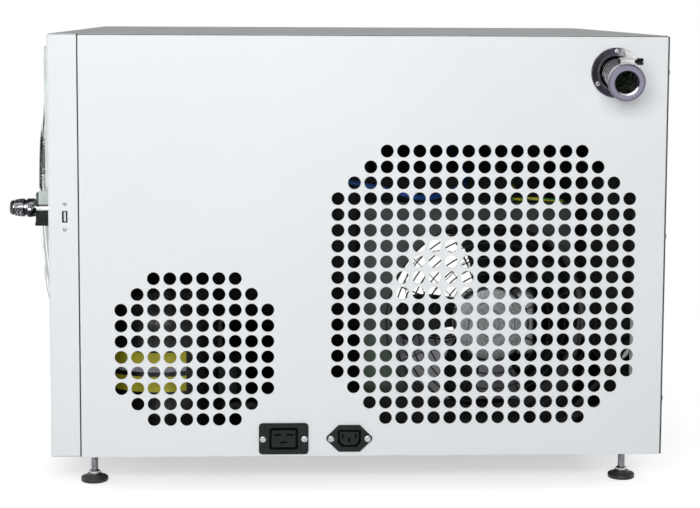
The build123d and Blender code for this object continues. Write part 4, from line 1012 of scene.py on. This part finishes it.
def labelMaterial():
    material, tree, shader = newMaterial("labelPaper", (0.60, 0.55, 0.03), 0.45)
    middle = nodeBox("compressor")[0].z + (labelSizes["lowZ"] + labelSizes["highZ"]) / 2 * mm
    band = isUnder(tree, gap(tree, axisHeight(tree, "Z"), middle), labelSizes["bandHalf"] * mm)
    fine, mottle = grain(tree, 600.0, 40.0)
    paper = mixColour(tree, mottle, (0.50, 0.46, 0.02), (0.66, 0.61, 0.05))
    feed(tree, shader, mixColour(tree, band, paper, (0.42, 0.42, 0.50)))
    bumpInto(tree, shader, fine, 0.15, 0.03)
    return material


def makeLabel():
    low, high = boxInMm("compressor")
    centre = (low + high) / 2
    size = labelSizes

    def labelPoint(a, b):
        turn = size["lowAngle"] + (size["highAngle"] - size["lowAngle"]) * (a + 1) / 2
        height = low.z + size["lowZ"] + (size["highZ"] - size["lowZ"]) * (b + 1) / 2
        radius, angle = size["canRadius"] + size["paper"], math.radians(turn)
        return (centre.x + radius * math.cos(angle), centre.y + radius * math.sin(angle), height)

    label = flatGrid(36, 12, labelPoint)
    thicken(label, size["paper"] * 0.8, -1)
    tidyNormals(label)
    dress(label, "compressorLabel", "cabinet", "light_plastic", 40, "label")


print("compressor label")
finish["label"] = labelMaterial()
makeLabel()


# latch

latchSizes = {
    "knobRadius": 10.5,
    "knobLength": 28.8,
    "fluteCount": 12,
    "fluteDepth": 0.1,      # as a part of the radius
    "fluteLow": 13,
    "fluteHigh": 22.4,
    "tongueHalf": 8,
    "tongueReach": 24,
    "tongueWall": 5,
    "clearFrom": 17.6,      # above the post's underside
    "lip": 4,
}
latchPivot = jointSpot["latch_turn"]
knobBase = nodeBox("latch_knob")[0].y + latchSizes["knobLength"] * mm


def knobMaterial():
    # black chrome: dark body, one long painted highlight, painted glints on the flutes and a grey
    # end cap
    material, tree, shader = newMaterial("knobPlating", (0.03, 0.032, 0.034), 0.2, 1.0)
    highlightAngle, gripLow, gripHigh, capFrom = 20.0, 12.5 * mm, 22.6 * mm, 24.2 * mm
    turnWaves, lengthWaves = 24.0, 1500.0
    fine, mottle = grain(tree, 700.0, 260.0)
    normal, worn = roundedEdge(tree, 1.5)
    rise = minus(tree, axisHeight(tree, "Z"), latchPivot.z)
    side = minus(tree, axisHeight(tree, "X"), latchPivot.x)
    out = minus(tree, knobBase, axisHeight(tree, "Y"))
    angle = mathNode(tree, "ARCTAN2", rise, side)
    # painted highlight: a long silver line on one side of the knob
    streak = rangeNode(tree, leanTo(tree, angle, highlightAngle), 0.93, 0.99)
    grip = product(tree, isOver(tree, out, gripLow),
                   isUnder(tree, out, gripHigh))
    # painted glints: silver patches over the flutes
    crossed = product(tree, mathNode(tree, "SINE", product(tree, angle, turnWaves)),
                      mathNode(tree, "SINE", product(tree, out, lengthWaves)))
    paintedGlints = product(tree, rangeNode(tree, crossed, 0.05, 0.5), grip)
    body = mixColour(tree, mottle, (0.012, 0.013, 0.014), (0.05, 0.05, 0.056))
    body = mixColour(tree, streak, body, (0.62, 0.61, 0.66))
    body = mixColour(tree, paintedGlints, body, (0.34, 0.34, 0.37))
    body = mixColour(tree, isOver(tree, out, capFrom), body, (0.10, 0.115, 0.11))
    body = mixColour(tree, worn, body, (0.10, 0.10, 0.11))
    feed(tree, shader, body, between(tree, mottle, 0.15, 0.32))
    bumpInto(tree, shader, fine, 0.1, 0.02, normal)
    return material


def makeTongue():
    # a round plate drawn out to one side
    half, wall = latchSizes["tongueHalf"] * mm, latchSizes["tongueWall"] * mm
    freshStart()
    bpy.ops.mesh.primitive_cylinder_add(vertices=56, radius=half, depth=wall,
                                        location=(0, 0, wall / 2))
    tongue = bpy.context.object
    applyPlace()
    for point in tongue.data.vertices:
        if point.co.x > 0.01 * mm:
            point.co.x += latchSizes["tongueReach"] * mm
    roundEdges(tongue, 0.9, 3, 50)
    return tongue


def makeLatchKnob():
    radius, length = latchSizes["knobRadius"], latchSizes["knobLength"]
    knob = turnedPiece([(4, -16), (4, -1.2), (6.5, -1.2), (6.5, 0.1), (radius - 0.8, 0.1),
                        (radius, 0.9), (radius, 8.4), (radius - 0.5, 9), (radius - 1.6, 9.6),
                        (radius - 1.6, 11.4), (radius - 0.4, 12.2), (radius, 12.8),
                        (radius - 0.1, 13.6), (radius - 0.3, 15.5), (radius - 0.6, 18),
                        (radius - 0.9, 20.5), (radius - 1.2, 22), (radius - 1.6, 22.8),
                        (8.0, 23.3), (8.0, 24.0), (8.4, 24.4), (8.3, 25.8), (7.6, 27.2),
                        (6.2, 28.3), (4.0, length - 0.1)], 96)
    for point in knob.data.vertices:
        if latchSizes["fluteLow"] * mm < point.co.z < latchSizes["fluteHigh"] * mm:
            wave = math.cos(math.atan2(point.co.y, point.co.x) * latchSizes["fluteCount"])
            cut = 1 - latchSizes["fluteDepth"] * max(0.0, wave) ** 2
            point.co.x *= cut
            point.co.y *= cut
    latch = joinPieces([knob, makeTongue()])
    outward = Matrix(((1, 0, 0, 0), (0, 0, -1, 0), (0, 1, 0, 0), (0, 0, 0, 1)))
    placePiece(latch, Matrix.Translation((latchPivot.x, knobBase, latchPivot.z)) @ outward)
    dress(latch, "latchKnob", "latch", "black_chrome", 38, "knob_plating")
    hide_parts("latch_knob")


def makeLatchPost():
    low, high = boxInMm("latch_post")
    split = low.z + latchSizes["clearFrom"]
    lower = softBox(low, (high.x, high.y, split - 0.5), 1.6, 4)
    lip = softBox((low.x - 0.5, low.y - 0.5, low.z - 0.3),
                  (high.x + 0.5, high.y, low.z + latchSizes["lip"]), 0.7, 3)
    block = joinPieces([lower, lip])
    dress(block, "latchBlock", "cabinet", "black_plastic", 40)
    cap = softBox((low.x + 0.4, low.y + 0.4, split), (high.x - 0.4, high.y, high.z), 2.6, 5)
    dress(cap, "latchClearCap", "cabinet", "clear_acrylic", 40)
    seal = softBox((low.x + 1, low.y + 0.8, split - 0.6), (high.x - 1, high.y - 0.2, split + 0.1),
                   0.1, 1)
    dress(seal, "latchSeal", "cabinet", "light_plastic", shade="clear_silicone")
    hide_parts("latch_post")


print("latch")
finish["knob_plating"] = knobMaterial()
makeLatchKnob()
makeLatchPost()


# vacuum port

portSizes = {
    "face": 52,             # from the cabinet's side to the flange's face
    "rimRadius": 20,
    "boreRadius": 12.3,
    "stubRadius": 13.65,
    "backWall": 16.5,       # radius behind the rim
    "ribPitch": 5.2,
    "ribStart": 26,         # from the cabinet's side to the bore's corrugation
    "boreEnd": -8,
}


def makePortFlange():
    rim, bore, stub = (portSizes[key] for key in ("rimRadius", "boreRadius", "stubRadius"))
    face, back, end = (portSizes[key] for key in ("face", "backWall", "boreEnd"))
    start, pitch = portSizes["ribStart"], portSizes["ribPitch"]
    profile = [(stub - 0.3, end - 1), (stub, end), (stub, face - 6.0), (back - 0.3, face - 5.9),
               (back, face - 5.6), (rim - 0.5, face - 3.1), (rim, face - 2.7), (rim, face - 0.5),
               (rim - 0.15, face - 0.15), (rim - 0.5, face), (bore + 1.3, face),
               (bore + 0.9, face - 0.2), (bore + 0.8, face - 2.0), (bore + 0.1, face - 2.05),
               (bore, face - 2.3), (bore, start + 1), (bore + 0.9, start)]
    height = start - pitch
    while height > end + 2:
        profile += [(bore + 0.1, height + pitch * 0.5), (bore + 1.0, height)]
        height -= pitch
    flange = turnedPiece(profile, 96)
    placePiece(flange, axisMatrix(portCentre, portAxis))
    dress(flange, "portRimFlange", "cabinet", "polished_steel", 38, "bored_steel")
    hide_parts("kf_flange")


def boredMaterial():
    # satin face outside; within the bore a lip with a painted glint, a straight wall with painted
    # light and shade round it, and the hose's corrugations with painted light on the crests and
    # painted shade in the grooves
    material, tree, shader = newMaterial("boredSteel", (0.27, 0.25, 0.335), 0.3, 1.0)
    face, bore, rim = (portSizes[key] * mm for key in ("face", "boreRadius", "rimRadius"))
    start, pitch = portSizes["ribStart"], portSizes["ribPitch"]
    spot = useGroup(tree, roundAxis, Centre=portCentre, Axis=portAxis)
    radius, along, angle = spot["Radius"], spot["Along"], spot["Angle"]
    normal, worn = roundedEdge(tree, 1.0)
    mottle = grain(tree, 700.0, 150.0)[1]
    rings = ringNoise(tree, radius, 1300.0)
    ringed = rangeNode(tree, rings, 0.3, 0.7)
    body = mixColour(tree, ringed, (0.21, 0.195, 0.27), (0.34, 0.32, 0.42))
    outerBand = rangeNode(tree, radius, rim - 2.2 * mm, rim - 1.4 * mm)
    body = mixColour(tree, outerBand, body, (0.17, 0.16, 0.21))
    body = mixColour(tree, worn, body, (0.08, 0.075, 0.10))
    # painted light and shade: the bore wall is bright on one side and near black on the other
    lit = rangeNode(tree, leanTo(tree, angle, -25.0), -0.2, 0.85)
    wall = mixColour(tree, lit, (0.014, 0.012, 0.018), (0.72, 0.72, 0.76))
    # painted light on the corrugation's crests, painted shade in its grooves
    crests = rangeNode(tree, ribWave(tree, along, start + pitch / 2, pitch), -0.5, 0.4)
    corrugated = mixColour(tree, crests, (0.02, 0.028, 0.02), (0.88, 0.98, 0.84))
    deep = isUnder(tree, along, (start + 1) * mm)
    inside = mixColour(tree, deep, wall, corrugated)
    # painted highlight: a bright glint on one side of the lip
    glint = rangeNode(tree, leanTo(tree, angle, -72.0), 0.55, 0.75)
    lip = mixColour(tree, glint, (0.06, 0.055, 0.075), (0.95, 0.95, 0.97))
    inside = mixColour(tree, isOver(tree, along, face - 2.35 * mm), inside, lip)
    inBore = product(tree, isUnder(tree, radius, bore + 1.2 * mm),
                     isUnder(tree, along, face - 0.02 * mm))
    feed(tree, shader, mixColour(tree, inBore, body, inside), between(tree, mottle, 0.22, 0.38))
    bumpInto(tree, shader, rings, 0.12, 0.02, normal)
    return material


print("vacuum port")
finish["bored_steel"] = boredMaterial()
makePortFlange()


# USB socket

usbSizes = {
    "wide": 5.8,
    "tall": 12.6,
    "wall": 0.5,
    "depth": 14.0,
    "tongue": 2.4,
    "contactCount": 4,
    "contactPitch": 2.3,
    "plateHalf": 18,        # the two backing plates end this far above and below the middle
}


def makeUsb():
    low, high = boxInMm("usb_socket")
    centre = (low + high) / 2
    half, tall, tongueHalf = usbSizes["wide"] / 2, usbSizes["tall"] / 2, usbSizes["tongue"] / 2
    wall, plateHalf, sheet = usbSizes["wall"], usbSizes["plateHalf"], (sideX - sheetWall) / mm
    far = high.x
    near = far - usbSizes["depth"]

    def block(startX, endX, startY, endY, startZ, endZ, bevel, segments=2):
        # y and z count from the socket's middle
        return softBox((startX, centre.y + startY, centre.z + startZ),
                       (endX, centre.y + endY, centre.z + endZ), bevel, segments)

    shell = joinPieces([block(near, far, -half, wall - half, -tall, tall, 0.12),
                        block(near, far, wall - half, half - wall, -tall, wall - tall, 0.12),
                        block(near, far, half - wall, half, -tall, tall, 0.12),
                        block(near, far, wall - half, half - wall, tall - wall, tall, 0.12)])
    dress(shell, "usbShell", "cabinet", "black_gloss", 40)
    backing = joinPieces([block(sheet - 1.6, sheet, -4.5, 4.5, -plateHalf, -tall - 0.1, 0.2),
                          block(sheet - 1.6, sheet, -4.5, 4.5, tall + 0.1, plateHalf, 0.2),
                          block(near - 1.2, near, -half - 1, half + 1, -tall - 1, tall + 1, 0.2)])
    dress(backing, "usbBacking", "cabinet", "black_plastic")
    tongue = block(near, far - 1.2, -tongueHalf, tongueHalf, 1.1 - tall, tall - 1.1, 0.2)
    dress(tongue, "usbTongue", "cabinet", "light_plastic", shade="usb_white")
    contacts = []
    for index in range(usbSizes["contactCount"]):
        z = (index - (usbSizes["contactCount"] - 1) / 2) * usbSizes["contactPitch"]
        contacts.append(block(near + 2, far - 2, -tongueHalf - 0.2, 0.05 - tongueHalf,
                              z - 0.5, z + 0.5, 0.08, 1))
    dress(joinPieces(contacts), "usbContacts", "cabinet", "copper")
    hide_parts("usb_socket")


print("USB socket")
makeUsb()


# floor, lights and camera

studioLevels = {
    "paper": (0.72, 0.73, 0.74),
    "floorOpen": 0.74,          # how bright the floor looks away from the cabinet
    "floorShadowed": 0.54,         # and beneath it, lower as a painted shadow
    "whiteFrom": 0.55,          # metres from the middle where the floor turns to plain white
    "whiteAt": 1.1,
    "horizon": 0.62,
    "overhead": 0.03,
    "skyMirrored": 0.36,
}
softboxes = {
    "sideFill": {"place": (2.7, -0.35, 1.1), "aim": (0, 0, 0.38), "size": (1.8, 1.2), "watts": 49},
    "frontFill": {"place": (-0.9, -3.2, 0.85), "aim": (0, 0, 0.25), "size": (1.8, 1.6),
                  "watts": 30},
    "backFill": {"place": (-0.9, 3.0, 0.85), "aim": (0, 0, 0.25), "size": (1.8, 1.6), "watts": 24},
    "leftFill": {"place": (-2.6, 0.2, 1.5), "aim": (0, 0.1, 0.1), "size": (1.5, 0.9), "watts": 22,
                 "mirrored": False},
}
cameraView = {
    "place": (2.107, -0.060, 0.531),
    "turn": 2.37,       # degrees from straight along -X towards +Y
    "drop": 5.54,       # degrees below level
    "roll": 0.27,
    "lens": 87.6342857,
    "sensor": 36,
    "shiftY": -0.12,
}


def seenMask(tree, mirrored):
    # 1 where the camera looks straight or through glass, and less where a surface mirrors
    path = tree.nodes.new("ShaderNodeLightPath").outputs
    seen = mathNode(tree, "MAXIMUM", path["Is Camera Ray"], path["Is Transmission Ray"])
    glossy = product(tree, path["Is Glossy Ray"], mirrored)
    return mathNode(tree, "MAXIMUM", seen, glossy), path["Is Glossy Ray"]


def makeFloor():
    freshStart()
    bpy.ops.mesh.primitive_plane_add(size=30)
    floor = bpy.context.object
    floor.name = "studioFloor"
    material = bpy.data.materials.new("studioWhite")
    material.use_nodes = True
    tree = material.node_tree
    tree.nodes.clear()
    paper = tree.nodes.new("ShaderNodeBsdfDiffuse")
    paper.inputs["Color"].default_value = (*studioLevels["paper"], 1)
    lift = tree.nodes.new("ShaderNodeEmission")
    white = tree.nodes.new("ShaderNodeEmission")
    both = tree.nodes.new("ShaderNodeAddShader")
    fade = tree.nodes.new("ShaderNodeMixShader")
    leave = tree.nodes.new("ShaderNodeOutputMaterial")
    seen = seenMask(tree, 1.0)[0]
    # painted shadow: the floor's glow is lower beneath the cabinet
    beneath = []
    for axis, edge in (("X", sideX), ("Y", coverHigh.y)):
        spread = mathNode(tree, "ABSOLUTE", axisHeight(tree, axis))
        beneath.append(rangeNode(tree, spread, edge - 75 * mm, edge + 5 * mm, 1.0, 0.0))
    paintedShadow = product(tree, *beneath)
    level = between(tree, paintedShadow, studioLevels["floorOpen"], studioLevels["floorShadowed"])
    reach = vectorNode(tree, "LENGTH", objectPlace(tree), output="Value")
    distant = rangeNode(tree, reach, studioLevels["whiteFrom"], studioLevels["whiteAt"])
    tree.links.new(product(tree, seen, level), lift.inputs["Strength"])
    tree.links.new(paper.outputs[0], both.inputs[0])
    tree.links.new(lift.outputs[0], both.inputs[1])
    tree.links.new(product(tree, distant, seen), fade.inputs[0])
    tree.links.new(both.outputs[0], fade.inputs[1])
    tree.links.new(white.outputs[0], fade.inputs[2])
    tree.links.new(fade.outputs[0], leave.inputs["Surface"])
    floor.data.materials.append(material)


def makeWorld():
    world = bpy.data.worlds.new("studio")
    bpy.context.scene.world = world
    world.use_nodes = True
    tree = world.node_tree
    tree.nodes.clear()
    height = splitNode(tree, tree.nodes.new("ShaderNodeTexCoord").outputs["Generated"])["Z"]
    level = rangeNode(tree, height, -0.1, 0.42, studioLevels["horizon"], studioLevels["overhead"])
    seen, glossy = seenMask(tree, studioLevels["skyMirrored"])
    notMirrored = minus(tree, 1.0, glossy)
    shade = tree.nodes.new("ShaderNodeMix")
    tree.links.new(seen, shade.inputs[0])
    tree.links.new(product(tree, level, notMirrored), shade.inputs[2])
    shade.inputs[3].default_value = 1.0
    glow = tree.nodes.new("ShaderNodeBackground")
    glow.inputs["Color"].default_value = (1, 1, 1, 1)
    tree.links.new(shade.outputs[0], glow.inputs["Strength"])
    leave = tree.nodes.new("ShaderNodeOutputWorld")
    tree.links.new(glow.outputs[0], leave.inputs["Surface"])


def addSoftbox(name, place, aim, size, watts, mirrored=True):
    light = bpy.data.lights.new(name, "AREA")
    light.shape = "RECTANGLE"
    light.size, light.size_y = size
    light.energy = watts
    lamp = bpy.data.objects.new(name, light)
    bpy.context.collection.objects.link(lamp)
    lamp.location = place
    lamp.rotation_euler = (Vector(aim) - Vector(place)).to_track_quat("-Z", "Y").to_euler()
    lamp.visible_glossy = mirrored


def makeCamera():
    view = cameraView
    turn, drop, roll = (math.radians(view[key]) for key in ("turn", "drop", "roll"))
    ahead = Vector((-math.cos(turn) * math.cos(drop), math.sin(turn) * math.cos(drop),
                    -math.sin(drop)))
    right = ahead.cross(Vector((0, 0, 1))).normalized()
    up = right.cross(ahead)
    level = right * math.cos(roll) + up * math.sin(roll)
    rise = up * math.cos(roll) - right * math.sin(roll)
    camera = bpy.data.cameras.new("productCamera")
    camera.sensor_width = view["sensor"]
    camera.lens = view["lens"]
    camera.shift_y = view["shiftY"]
    camera.clip_start, camera.clip_end = 0.05, 60
    holder = bpy.data.objects.new("productCamera", camera)
    bpy.context.collection.objects.link(holder)
    facing = Matrix((level, rise, -ahead)).transposed().to_4x4()
    holder.matrix_world = Matrix.Translation(view["place"]) @ facing
    bpy.context.scene.camera = holder


print("studio")
makeFloor()
makeWorld()
for name, lamp in softboxes.items():
    addSoftbox(name, **lamp)
makeCamera()
bpy.context.scene.view_settings.view_transform = "Standard"
